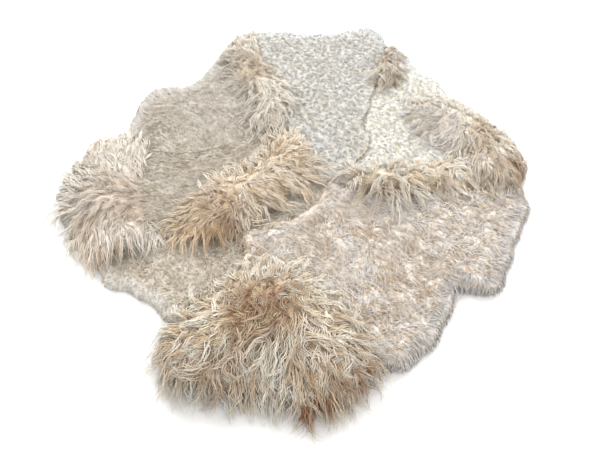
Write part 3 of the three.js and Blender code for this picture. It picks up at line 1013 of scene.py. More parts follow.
def hex_grid(low: Array, high: Array, spacing: float, jitter: float, rng: np.random.Generator) -> Array:
    """Places in staggered rows over a box in plan.

    Args:
        low: the box's low corner.
        high: the box's high corner.
        spacing: between neighbours.
        jitter: how far each is moved, as a share of the spacing.
        rng: where the moves come from.

    Returns:
        The places, one row each.
    """
    row_step = spacing * math.sqrt(3) / 2
    xs = np.arange(low[0], high[0] + spacing, spacing)
    ys = np.arange(low[1], high[1] + row_step, row_step)
    x, y = np.meshgrid(xs, ys)
    x = x + (np.arange(len(ys)) % 2)[:, None] * spacing / 2
    places = np.stack([x.ravel(), y.ravel()], axis=1)
    return places + rng.uniform(-jitter, jitter, places.shape) * spacing


class Ridge:
    """A line that wool stands up along, in the frame."""

    def __init__(self, spine: tuple[tuple[float, float], ...], height: float, reach: float) -> None:
        """Lays the line through its places in the tables' millimetres."""
        self.line = catmull_rom(to_frame(spine), RIDGE_STEP * MM, closed=False)
        self.height = height * MM
        self.reach = reach * MM

    def distance(self, points: Array) -> Array:
        """How far each place in plan is from the line."""
        return nearest_on(points, self.line, closed=False)[0]

    def nearness(self, points: Array) -> Array:
        """How near each place in plan is, from 0 out of reach to 1 on the line."""
        return 1 - smooth_step(self.distance(points), 0.2 * self.reach, self.reach)

    def rise(self, points: Array) -> Array:
        """How far the ridge stands over the pile."""
        away = self.distance(points) / self.reach
        return self.height * np.clip(1 - away**2, 0, 1) ** 1.5


class Tuft(Ridge):
    """The ridge of an unshorn tuft, and how its wool grows from place to place."""

    COLUMNS = ("dx", "dy", "length", "gold", "hollow", "grey")

    def __init__(self, plan: TuftPlan) -> None:
        """Lays out the tuft's ridge and patches."""
        super().__init__(plan.spine, plan.height, plan.reach)
        self.plan = plan
        self.middles = to_frame([(patch.x, patch.y) for patch in plan.patches])
        self.values = np.array([[getattr(patch, key) for key in self.COLUMNS] for patch in plan.patches])

    def growth(self, points: Array) -> dict[str, Array]:
        """The patches' values, blended at each place in plan."""
        gap = np.linalg.norm(points[:, None] - self.middles[None], axis=2) / (PATCH_REACH * MM)
        share = np.exp(-(gap**2)) + 1e-9 * np.exp(-gap)
        blend = share @ self.values / share.sum(1, keepdims=True)
        return dict(zip(self.COLUMNS, blend.T))

    def covers(self, points: Array) -> Array:
        """How much of the wool is long at each place in plan, from 0 to 1."""
        spread = self.plan.spread * MM
        return 1 - smooth_step(self.distance(points), 0.62 * spread, spread)


class Skin:
    """One sheepskin's form: its outline, and how high its wool stands at any place."""

    def __init__(self, plan: SkinPlan, seed: int) -> None:
        """Reads the skin's outline from its solid."""
        self.plan = plan
        self.rng = np.random.default_rng(seed)
        self.coarse = floor_loop(plan.node)
        self.loop = catmull_rom(self.coarse, OUTLINE_STEP * MM, closed=True)
        self.free = np.ones(len(self.loop))
        self.outline = self.loop
        self.tufts = [Tuft(t) for t in TUFTS if t.skin == plan.node]
        self.rolls = [Ridge(r.spine, r.height, r.reach) for r in ROLLS if r.skin == plan.node]

    def mark_free_edges(self, others: list[Skin]) -> None:
        """Finds which parts of the outline aren't sewn, and lets the wool stand out there."""
        for other in others:
            if other is not self:
                gap, _, _ = nearest_on(self.loop, other.loop, closed=True)
                self.free[gap < SEAM_GAP * MM] = 0.0
        kernel = np.ones(5) / 5
        self.free = np.convolve(np.concatenate([self.free[-2:], self.free, self.free[:2]]), kernel, "valid")
        outward = right_of(np.roll(self.loop, -1, axis=0) - np.roll(self.loop, 1, axis=0))
        scallop = sum((deep * np.sin(self.loop @ np.array(wave)) for deep, wave in SCALLOPS), 1.0)
        flare = RIM_FLARE * self.free + self.plan.proud * scallop * (1 - self.free)
        self.outline = self.loop + outward * (flare * MM)[:, None]

    def edge(self, points: Array) -> tuple[Array, Array, Array]:
        """Distance to the skin's edge, how free it is there, and the heading out over it."""
        gap, foot, piece = nearest_on(points, self.outline, closed=True)
        outward = right_of(np.roll(self.outline, -1, axis=0)[piece] - self.outline[piece])
        return gap, self.free[piece], outward

    def top(self, points: Array) -> Array:
        """Height of the wool at places inside the outline, without its curls."""
        gap, free, _ = self.edge(points)
        round_free = np.sqrt(1 - (1 - np.clip(gap / (RIM_ROUND * MM), 0, 1)) ** 2)
        at_seam = self.plan.seam + (1 - self.plan.seam) * smooth_step(gap, 0, self.plan.valley * MM)
        share = free * round_free + (1 - free) * at_seam
        return share * self.pile(points)

    def lie(self, points: Array, reach: float = 8 * MM) -> Array:
        """The normal of the coat as a whole at places in plan.

        Args:
            points: in plan.
            reach: how far apart its height is compared.

        Returns:
            One normal a row.
        """
        here = self.top(points)
        _, free, _ = self.edge(points)
        slope = []
        for step in ((reach, 0), (0, reach)):
            sides = []
            for way in (1, -1):
                moved = points + way * np.array(step)
                beyond = np.where(free > 0.5, 0, here)
                sides.append(np.where(inside(moved, self.outline), self.top(moved), beyond))
            slope.append((sides[1] - sides[0]) / (2 * reach))
        return unit(lifted(np.stack(slope, axis=1), 1))

    def seam_shade(self, gap: Array, free: Array) -> Array:
        """A painted shadow beside a sewn edge, from 0 to 1, by the distance to it and how free it is there.
        """
        # it only darkens colour, and more where the wool's share at the seam is lower
        drop = min(1.0, 4 * (1 - self.plan.seam))
        return drop * (1 - free) * (1 - smooth_step(gap, 0, 1.2 * self.plan.valley * MM))

    def pile(self, points: Array) -> Array:
        """Height of the pile with its soft lumps and ridges, before its edge is rounded."""
        x, y = ((points - SHIFT) / MM).T
        k = 2 * math.pi / LUMP_LENGTH
        across = np.sin(k * x + 1.7 * np.sin(k * 0.6 * y))
        deep = np.sin(k * 0.83 * y + 1.3 * np.sin(k * 0.7 * x))
        swell = self.plan.swell * ripple(points, SWELL_LENGTH * MM)
        height = (self.plan.pile + LUMP_HEIGHT * (across + deep) / 2 + swell) * MM
        for ridge in (*self.tufts, *self.rolls):
            height = height + ridge.rise(points)
        return height

    def long_share(self, points: Array) -> Array:
        """How much of the wool is long at each place in plan, from 0 to 1."""
        share = np.zeros(len(points))
        for tuft in self.tufts:
            share = np.maximum(share, tuft.covers(points))
        return share

    def rein(self, start: Array, end: Array, hang: Array) -> Array:
        """Shortens wool that would lie further out past the rim than it does on a real rug.

        Args:
            start: the roots in plan.
            end: the tips in plan.
            hang: how far past the rim each tip may lie.

        Returns:
            The tips, none of them much further out than hang.
        """
        out = ~inside(end, self.outline)
        gap, free, _ = self.edge(end)
        excess = np.where(out & (free > 0.4), gap - hang, 0)
        reach = np.linalg.norm(end - start, axis=1)
        keep = np.clip(1 - np.maximum(excess, 0) / np.maximum(reach, 1e-6), 0.2, 1)
        return start + (end - start) * keep[:, None]

    def named(self, kind: str) -> str:
        """The name of the skin's piece of one kind, such as its hide."""
        return self.plan.node.replace("skin", kind)

    def near_rim(self, gap: Array, free: Array, full: float) -> Array:
        """How near a free rim places are, from 1 within full metres of it to 0."""
        return free * (1 - smooth_step(gap, full, PALE_REACH * MM))

    def brushed(self, points: Array, pale: Array) -> Array:
        """How pale the wool is where it is brushed up beside a seam, and elsewhere as given."""
        for roll in self.rolls:
            pale = np.maximum(pale, ROLL_PALE * roll.nearness(points))
        return pale

    def places(self, spacing: float, jitter: float, rng: np.random.Generator) -> Array:
        """Places in staggered rows over the skin, spacing metres apart."""
        at = hex_grid(self.outline.min(0), self.outline.max(0), spacing, jitter, rng)
        return at[inside(at, self.outline)]


class Rug:
    """All the skins' forms together."""

    def __init__(self) -> None:
        """Builds the forms of the skins and finds their seams."""
        self.skins = [Skin(plan, seed) for seed, plan in enumerate(SKINS)]
        for skin in self.skins:
            skin.mark_free_edges(self.skins)

    def top(self, points: Array) -> Array:
        """Height of the rug at any places in plan, 0 outside it."""
        height = np.zeros(len(points))
        for skin in self.skins:
            held = inside(points, skin.outline)
            if held.any():
                height[held] = skin.top(points[held])
        return height


# Making meshes


def placed(name: str, data: bpy.types.ID) -> bpy.types.Object:
    """Puts data into the scene as an object at the origin."""
    piece = bpy.data.objects.new(name, data)
    bpy.context.scene.collection.objects.link(piece)
    return piece


def mesh_object(name: str, points: Array, faces: list, material: bpy.types.Material) -> bpy.types.Object:
    """Makes a smooth mesh object at the origin.

    Args:
        name: of the object and its mesh.
        points: the places, in the frame.
        faces: lists of point indices, facing out.
        material: its finish.

    Returns:
        The linked object.
    """
    mesh = bpy.data.meshes.new(name)
    mesh.from_pydata(points.tolist(), [], faces)
    mesh.materials.append(material)
    mesh.shade_smooth()
    return placed(name, mesh)


def store(mesh: bpy.types.Mesh, name: str, values: Array) -> None:
    """Keeps a number or a vector for each point of a mesh under a name."""
    kind, key = ("FLOAT_VECTOR", "vector") if values.ndim == 2 else ("FLOAT", "value")
    mesh.attributes.new(name, kind, "POINT").data.foreach_set(key, values.astype(np.float32).ravel())


def triangulated(loop: Array, places: Array) -> tuple[Array, list]:
    """Triangles that fill a loop and use the places inside it.

    Args:
        loop: the closed outline in plan, anticlockwise.
        places: points inside it.

    Returns:
        The points, the loop's first and in order, and the triangles, facing up.
    """
    every = [Vector(p) for p in np.concatenate([loop, places])]
    count = len(loop)
    edges = [(i, (i + 1) % count) for i in range(count)]
    points, _, faces, *_ = delaunay_2d_cdt(every, edges, [], 1, 1e-7)
    flat = np.array([tuple(p) for p in points])
    turned = []
    for face in faces:
        a, b, c = (flat[i] for i in face)
        up = (b[0] - a[0]) * (c[1] - a[1]) - (b[1] - a[1]) * (c[0] - a[0]) > 0
        turned.append(tuple(face) if up else tuple(reversed(face)))
    return flat, turned


class WoolGrower(Nodes):
    """The Geometry Nodes tree that grows a strand of wool at every point of a mesh.

    A strand is a curve from its root along stem and then tip, which swings from side to side as crimped
    wool does, and has a body with a few sides that thins towards its end.
    """

    INPUTS = {
        "Wool": "NodeSocketGeometry",
        "Steps": "NodeSocketInt",
        "Sides": "NodeSocketInt",
        "Section": "NodeSocketVector",
        "Taper": "NodeSocketFloat",
        "Floor": "NodeSocketFloat",
        "Ceiling": "NodeSocketFloat",
        "Finish": "NodeSocketMaterial",
    }
    SCAFFOLD = ("root", "stem", "tip", "swing", "turns", "phase", "thick")
    LOOKS = ("gold", "hollow", "grey", "lie")
    SIDES = 3
    SECTION = (1.2, 0.62, 1.0)  # a strand is wider than it is thick
    TAPER = 0.85  # how much of its width is gone at its end

    def __init__(self) -> None:
        """Builds the tree."""
        super().__init__(bpy.data.node_groups.new("grow_wool", "GeometryNodeTree"))
        self.sockets = {
            name: self.tree.interface.new_socket(name, in_out="INPUT", socket_type=kind)
            for name, kind in self.INPUTS.items()
        }
        self.tree.interface.new_socket("Wool", in_out="OUTPUT", socket_type="NodeSocketGeometry")
        self.given = self.add("NodeGroupInput").outputs
        fleshed = self.fleshed(self.shaped(self.bare_curves()))
        real = self.step("RealizeInstances", {"Geometry": fleshed})
        dressed = self.step("SetMaterial", {"Geometry": real, "Material": self.given["Finish"]})
        self.add("NodeGroupOutput", {"Wool": dressed})

    def step(self, kind: str, inputs: dict, **settings) -> bpy.types.NodeSocket:
        """Adds a node of the geometry kind and gives its first output."""
        return self.add("GeometryNode" + kind, inputs, **settings).outputs[0]

    def named(self, name: str, kind: str = "FLOAT") -> bpy.types.NodeSocket:
        """Reads a named number or vector."""
        node = self.add("GeometryNodeInputNamedAttribute", {"Name": name}, data_type=kind)
        return node.outputs["Attribute"]

    def vector(self, operation: str, first, second=None, scale=None) -> bpy.types.NodeSocket:
        """Works out one sum with vectors."""
        inputs = {0: first}
        if second is not None:
            inputs[1] = second
        if scale is not None:
            inputs["Scale"] = scale
        return self.add("ShaderNodeVectorMath", inputs, operation=operation).outputs["Vector"]

    def bare_curves(self) -> bpy.types.NodeSocket:
        """One short straight curve at every point."""
        line = self.step("CurvePrimitiveLine", {"End": (0.0, 0.0, 0.01)})
        stepped = self.step("ResampleCurve", {"Curve": line, "Count": self.given["Steps"]})
        planted = self.step("InstanceOnPoints", {"Points": self.given["Wool"], "Instance": stepped})
        return self.step("RealizeInstances", {"Geometry": planted})

    def shaped(self, curves) -> bpy.types.NodeSocket:
        """Bends each curve along its stem and tip, with its crimp."""
        along = self.add("GeometryNodeSplineParameter").outputs["Factor"]
        root, stem, tip = (self.named(name, "FLOAT_VECTOR") for name in ("root", "stem", "tip"))
        stem_share = self.math("MULTIPLY", along, 2.0, self.math("SUBTRACT", 1.0, along))
        bow = self.vector("ADD", root, self.vector("SCALE", stem, scale=stem_share))
        bow = self.vector("ADD", bow, self.vector("SCALE", tip, scale=self.math("MULTIPLY", along, along)))
        side = self.vector("NORMALIZE", self.vector("CROSS_PRODUCT", tip, (0.0, 0.0, 1.0)))
        lift = self.vector("NORMALIZE", self.vector("CROSS_PRODUCT", side, tip))
        turn = self.math("MULTIPLY", along, 2 * math.pi, self.named("turns"))
        angle = self.math("ADD", turn, self.named("phase"))
        width = self.math("MULTIPLY", self.named("swing"), self.math("POWER", along, 0.7))
        across = self.vector("SCALE", side, scale=self.math("MULTIPLY", width, self.math("SINE", angle)))
        raised = self.math("MULTIPLY", width, 0.7, self.math("COSINE", angle))
        crimp = self.vector("ADD", across, self.vector("SCALE", lift, scale=raised))
        parts = self.add("ShaderNodeSeparateXYZ", {0: self.vector("ADD", bow, crimp)}).outputs
        clear = self.math("MAXIMUM", parts["Z"], self.given["Floor"])
        clear = self.math("MINIMUM", clear, self.given["Ceiling"])
        place = self.add("ShaderNodeCombineXYZ", {"X": parts["X"], "Y": parts["Y"], "Z": clear}).outputs[0]
        bent = self.step("SetPosition", {"Geometry": curves, "Position": place})
        inputs = {"Geometry": bent, "Name": "along", "Value": along}
        return self.step("StoreNamedAttribute", inputs, data_type="FLOAT", domain="POINT")

    def fleshed(self, curves) -> bpy.types.NodeSocket:
        """Gives each curve its body, and drops the values that only shaped it."""
        lost = self.math("MULTIPLY", self.math("POWER", self.named("along"), 2.2), self.given["Taper"])
        girth = self.math("MULTIPLY", self.named("thick"), 0.5, self.math("SUBTRACT", 1.0, lost))
        circle = self.step("CurvePrimitiveCircle", {"Resolution": self.given["Sides"], "Radius": 1.0})
        lens = self.step("Transform", {"Geometry": circle, "Scale": self.given["Section"]})
        level = self.step("SetCurveNormal", {"Curve": curves}, mode="Z_UP")
        inputs = {"Curve": level, "Profile Curve": lens, "Scale": girth, "Fill Caps": True}
        body = self.step("CurveToMesh", inputs)
        for name in self.SCAFFOLD:
            body = self.step("RemoveAttribute", {"Geometry": body, "Name": name})
        return self.step("SetShadeSmooth", {"Geometry": body})

    def grow(self, name: str, strands: Strands, steps: int, finish: bpy.types.Material) -> bpy.types.Object:
        """Grows a set of strands and keeps them as one plain mesh.

        Args:
            name: of the piece.
            strands: where the strands start and how they lie.
            steps: points along each strand.
            finish: the material.

        Returns:
            The linked object, with no modifier left on it.
        """
        bed = bpy.data.meshes.new(name + "_bed")
        bed.from_pydata(strands.root.tolist(), [], [])
        for key in (*self.SCAFFOLD, *self.LOOKS):
            store(bed, key, getattr(strands, key))
        planter = placed(name + "_planter", bed)
        modifier = planter.modifiers.new("grow", "NODES")
        modifier.node_group = self.tree
        values = {
            "Steps": steps,
            "Sides": self.SIDES,
            "Section": self.SECTION,
            "Taper": self.TAPER,
            "Floor": FLOOR_CLEARANCE,
            "Ceiling": CEILING,
            "Finish": finish,
        }
        for key, value in values.items():
            modifier[self.sockets[key].identifier] = value
        graph = bpy.context.evaluated_depsgraph_get()
        mesh = bpy.data.meshes.new_from_object(planter.evaluated_get(graph), depsgraph=graph)
        mesh.name = name
        bpy.data.objects.remove(planter)
        bpy.data.meshes.remove(bed)
        return placed(name, mesh)


@dataclass
class Strands:
    """Where strands of wool start and how they lie, one row each, in metres.

    Attributes:
        root: where each starts.
        stem: from the root to the place that the strand heads for first.
        tip: from the root to the strand's end.
        swing: how far it swings to each side.
        turns: how many times it swings.
        phase: where in its swing it starts.
        thick: its width at the root.
        gold: from 0, pale, to 1, golden.
        hollow: how brown it is.
        grey: how grey its tip is.
        lie: the normal of the coat that it is part of.
    """

    root: Array
    stem: Array
    tip: Array
    swing: Array
    turns: Array
    phase: Array
    thick: Array
    gold: Array
    hollow: Array
    grey: Array
    lie: Array


# The pieces


@dataclass
class Hide:
    """The leather of one skin, flesh side down: a flat sheet with the skin's outline."""

    skin: Skin

    def build(self, material: bpy.types.Material) -> bpy.types.Object:
        """Makes the closed sheet.

        Args:
            material: the suede.

        Returns:
            The hide's object.
        """
        loop = self.skin.coarse
        flat, faces = triangulated(loop, np.zeros((0, 2)))
        count = len(flat)
        points = np.concatenate([lifted(flat), lifted(flat, HIDE_THICKNESS)])
        under = [tuple(reversed(f)) for f in faces]
        over = [tuple(i + count for i in f) for f in faces]
        rim = len(loop)
        wall = [(i, (i + 1) % rim, (i + 1) % rim + count, i + count) for i in range(rim)]
        piece = mesh_object(self.skin.named("hide"), points, under + over + wall, material)
        piece.data.shade_flat()
        return piece


@dataclass
class Underwool:
    """The matted wool of one skin: a lumpy closed body with the relief of its curls."""

    skin: Skin

    MARGIN = 0.55  # how far its inner points stay from its edge, as a share of their spacing
    EASE = 16 * MM  # how far in from its edge the relief starts
    FINE = 17.05 * MM  # length of the finest ripples in the relief
    JITTER = 0.38  # how far a curl stands from the middle of its cell, in cells
    CREASE = 0.45  # how wide the crease around a curl is, in cells
    DOME = 0.8  # how far a curl's dome reaches, in cells
    CURLED = 0.62  # how much of the relief is round curls, where they aren't stretched to wisps

    def grain(self, places: Array) -> Array:
        """Places in plan as they lie along and across the flow of the wool, which wanders a little."""
        plan = self.skin.plan
        size = plan.curl * MM
        lean = unit(np.array(plan.lean))
        along = places @ lean
        across = places @ np.array([-lean[1], lean[0]])
        wave = 0.45 * size * np.sin(along / size * 0.9 + 2.0 * np.sin(across / size * 0.4))
        return np.stack([along / plan.stretch, across + wave], axis=1)

    def curls(self, places: Array) -> Array:
        """The relief of the curls, from 0 in a pit to 1 on a crest.

        Each curl is a domed cell with a crease around it, and some stand higher than others.

        Args:
            places: in plan.

        Returns:
            The relief at each place.
        """
        cell = self.grain(places) / (self.skin.plan.curl * MM)
        base = np.floor(cell)
        near, second, stands = np.full((3, len(places)), math.inf)
        for dx in (-1, 0, 1):
            for dy in (-1, 0, 1):
                corner = base + (dx, dy)
                moved = np.stack([chance(corner), chance(corner + 71.3)], axis=1)
                away = np.linalg.norm(cell - (corner + 0.5 + self.JITTER * (2 * moved - 1)), axis=1)
                closer = away < near
                second = np.where(closer, near, np.minimum(second, away))
                stands = np.where(closer, chance(corner + 29.7), stands)
                near = np.where(closer, away, near)
        crease = smooth_step(second - near, 0, self.CREASE)
        dome = np.clip(1 - (near / self.DOME) ** 2, 0, 1)
        fine = ripple(places, 0.55 * self.skin.plan.curl * MM) + 0.6 * ripple(places[:, ::-1], self.FINE)
        cells = crease * (0.35 + 0.35 * dome + 0.3 * stands)
        weight = self.CURLED / self.skin.plan.stretch**0.8  # long wisps lie flatter than round curls
        return np.clip(weight * cells + 0.5 * (1 - weight) + 0.17 * fine, 0, 1)

    def depths(self, places: Array) -> Array:
        """The linear colour of the long wool's depths at places in plan."""
        colour = np.zeros((len(places), 3))
        weight = np.full(len(places), 1e-9)
        for tuft in self.skin.tufts:
            share = tuft.covers(places) + 1e-6
            growth = tuft.growth(places)
            finish = tuft.plan.finish
            colour += share[:, None] * finish.deep(growth["gold"], growth["hollow"], growth["grey"])
            weight += share
        return colour / weight[:, None]

    def build(self, material: bpy.types.Material) -> bpy.types.Object:
        """Makes the closed body.

        Args:
            material: the underwool's finish.

        Returns:
            The underwool's object.
        """
        skin, plan = self.skin, self.skin.plan
        places = skin.places(plan.mesh * MM, 0.22, skin.rng)
        gap, _, _ = skin.edge(places)
        flat, faces = triangulated(skin.outline, places[gap > self.MARGIN * plan.mesh * MM])
        gap, free, outward = skin.edge(flat)
        crest = self.curls(flat)
        long_share = skin.long_share(flat) if plan.cut else np.ones(len(flat))
        depth = plan.relief * MM * (1 - 0.5 * long_share) * smooth_step(gap, 0, self.EASE)
        height = np.maximum(skin.top(flat) - depth * (1 - crest), HIDE_THICKNESS + 0.5 * MM)
        count, rim = len(flat), len(skin.outline)
        points = np.concatenate([lifted(flat, height), lifted(skin.loop, HIDE_THICKNESS)])
        wall = [(count + i, count + (i + 1) % rim, (i + 1) % rim, i) for i in range(rim)]
        base, base_faces = triangulated(skin.loop, np.zeros((0, 2)))
        under = [tuple(count + i for i in reversed(f)) for f in base_faces]
        name = skin.named("underwool")
        piece = mesh_object(name, points, faces + wall + under, material)
        # the crest value is a little higher on the pile's swells, and lowered beside a seam by a painted
        # shadow that turns the wool to its pit colour
        swelled = ripple(flat, SWELL_LENGTH * MM) * plan.swell / 30 - 0.9 * skin.seam_shade(gap, free)
        # near a free rim the wool takes its rim colour: paler on most skins, on the ivory skin a darker
        # painted shade
        pale = skin.near_rim(gap, free, 0.2 * PALE_REACH * MM) * (1 - long_share)
        none = np.zeros(rim)
        rows = {
            "crest": (crest + swelled, none),
            "rim": (skin.brushed(flat, pale), none),
            "tuft": (smooth_step(long_share, 0.4, 1.0), none),
            "depths": (self.depths(flat), np.zeros((rim, 3))),
            "lie": (skin.lie(flat), lifted(outward[:rim])),
            "grain": (lifted(self.grain(flat)), lifted(self.grain(skin.loop))),
        }
        for key, values in rows.items():
            store(piece.data, key, np.concatenate(values))
        self.crease_rim(piece.data, free[:rim])
        if len(base) != rim:
            LOG.warning("%s: its base has %d points for an edge of %d", name, len(base), rim)
        return piece

    def crease_rim(self, mesh: bpy.types.Mesh, free: Array) -> None:
        """Keeps the top's shading level up to its sewn edges, so that no groove shows along a seam."""
        rim = len(free)
        for edge in mesh.edges:
            a, b = sorted(edge.vertices)
            if b < rim and (b - a == 1 or b - a == rim - 1) and free[a] < 0.5:
                edge.use_edge_sharp = True


@dataclass
class Wool:
    """Wool of one skin that grows in strands: each kind gives its name, its steps and its strands."""

    rug: Rug
    skin: Skin

    def footing(self, at: Array, sink: float) -> Array:
        """How high strands start at places in plan, set sink metres into the wool but not into the hide."""
        return np.maximum(self.skin.top(at) - sink, HIDE_THICKNESS)

    def build(self, grower: WoolGrower, material: bpy.types.Material) -> bpy.types.Object:
        """Grows the strands.

        Args:
            grower: what makes strands.
            material: the wool.

        Returns:
            Their object.
        """
        return grower.grow(self.name, self.strands(), self.steps, material)


@dataclass
class ShortWool(Wool):
    """The shorn curls of one skin, which lie over its seams and lean out at its free rim."""

    steps: int = 5
    rim_full: float = 10 * MM  # how far in from a free rim the curls lean fully out
    seam_reach: float = 20 * MM  # how far in from a seam they lean over it
    yielding: tuple[float, float] = (0.3, 0.9)  # shares of long wool between which they give way to it
    wander: float = 0.6  # how far they wander from the lean of the skin
    outwards: float = 2.2  # how strongly they lean out over a free rim
    downhill: float = 0.5  # how strongly they lean down a slope

    @property
    def name(self) -> str:
        """The name of their piece."""
        return self.skin.named("curls")

    def strands(self) -> Strands:
        """Places the curls and sets how each lies."""
        skin, crop, rng = self.skin, self.skin.plan.cut.value, self.skin.rng
        at = skin.places(crop.spacing * MM, 0.38, rng)
        at = at[skin.long_share(at) < rng.uniform(*self.yielding, len(at))]
        count = len(at)
        gap, free, outward = skin.edge(at)
        near_rim = skin.near_rim(gap, free, self.rim_full)
        near_seam = (1 - free) * (1 - smooth_step(gap, 0, self.seam_reach))
        clump = crop.clump * MM
        any_way = 1.7 * math.pi * ripple(at, clump) + rng.normal(0, 0.3, count)
        loose = np.stack([np.cos(any_way), np.sin(any_way)], axis=1)
        swirl = np.stack([np.cos(at[:, 1] * 11 + at[:, 0] * 5), np.sin(at[:, 0] * 9 - at[:, 1] * 6)], axis=1)
        lean = unit(unit(np.array(skin.plan.lean)) + self.wander * swirl)
        lie = skin.lie(at)
        over = 0.6 + 0.22 * skin.plan.proud  # wool that stands proud also falls over the seam
        out = (self.outwards * near_rim + over * near_seam)[:, None] * outward
        out = out + self.downhill * lie[:, :2]
        heading = unit((1 - crop.combed) * loose + crop.combed * lean + out)
        length = crop.length * MM * rng.uniform(0.7, 1.25, count)
        end = skin.rein(at, at + heading * length[:, None], rng.uniform(1, 11, count) * MM)
        sink = (skin.plan.relief + 2) * MM
        start = self.footing(at, sink)
        height = np.maximum(self.rug.top(end), 2 * MM) + rng.uniform(1.5, 5.5, count) * MM
        rise = sink + length * rng.uniform(0.2, 0.5, count)
        parting = 0.7 * np.clip(-ripple(at, 1.4 * clump) - 0.15, 0, 1)
        # near a free rim the curls' tips take the skin's grey colour, which on the ivory skin is a darker
        # painted shade
        pale = skin.brushed(at, near_rim)
        return Strands(
            root=lifted(at, start),
            stem=lifted((end - at) * 0.3, rise),
            tip=lifted(end - at, height - start),
            swing=crop.swing * MM * rng.uniform(0.6, 1.2, count),
            turns=crop.turns * rng.uniform(0.7, 1.3, count),
            phase=2 * math.pi * ripple(at[:, ::-1], 1.3 * clump) + rng.normal(0, 0.6, count),
            thick=crop.thick * MM * rng.uniform(0.75, 1.2, count),
            gold=np.clip(0.5 - 0.6 * ripple(at, 2.1 * clump) + rng.normal(0, 0.12, count), 0, 1) * (1 - pale),
            # browner where the curls part, partly painted shade between their clumps, and browner beside a
            # seam as a painted shadow
            hollow=np.clip(parting + 0.8 * skin.seam_shade(gap, free), 0, 1),
            grey=pale,
            lie=lie,
        )


@dataclass
class RimBrush(Wool):
    """Wool that was combed straight out over a skin's free rim."""

    steps: int = 6
    spacing: float = 9 * MM
    depth: float = 78 * MM  # how far in from the rim it is combed
    length: float = 52 * MM
    thick: float = 3.6 * MM
    seed: int = 71

    @property
    def name(self) -> str:
        """The name of its piece."""
        return self.skin.named("brush")

    def strands(self) -> Strands:
        """Places the strands and sets how each lies."""
        skin, rng = self.skin, np.random.default_rng(self.seed)
        at = skin.places(self.spacing, 0.4, rng)
        gap, free, _ = skin.edge(at)
        at = at[(free > 0.6) & (gap < self.depth * rng.uniform(0.5, 1, len(at)))]
        at = at[rng.permutation(len(at))[: skin.plan.brush]]
        count = len(at)
        _, _, outward = skin.edge(at)
        along_rim = np.stack([-outward[:, 1], outward[:, 0]], axis=1)
        fan = 0.3 * np.sin(at @ np.array([55.0, 38.0]))
        heading = unit(outward + fan[:, None] * along_rim + rng.normal(0, 0.18, (count, 2)))
        length = self.length * rng.uniform(0.7, 1.2, count)
        end = skin.rein(at, at + heading * length[:, None], rng.uniform(0, 13, count) * MM)
        sink = (skin.plan.relief + 1) * MM
        start = self.footing(at, sink)
        height = np.maximum(self.rug.top(end), 4 * MM) + rng.uniform(1, 5, count) * MM
        return Strands(
            root=lifted(at, start),
            stem=lifted((end - at) * 0.4, sink + rng.uniform(4, 12, count) * MM),
            tip=lifted(end - at, height - start),
            swing=rng.uniform(1, 3, count) * MM,
            turns=rng.uniform(0.5, 1, count),
            phase=rng.uniform(0, 2 * math.pi, count),
            thick=self.thick * rng.uniform(0.7, 1.2, count),
            gold=rng.uniform(0, 0.6, count),
            hollow=np.zeros(count),
            # the tips take the skin's grey colour; the ivory skin, the only one with a brush, has it darker,
            # a painted shade on its rim
            grey=rng.uniform(0.5, 1, count),
            lie=skin.lie(at),
        )


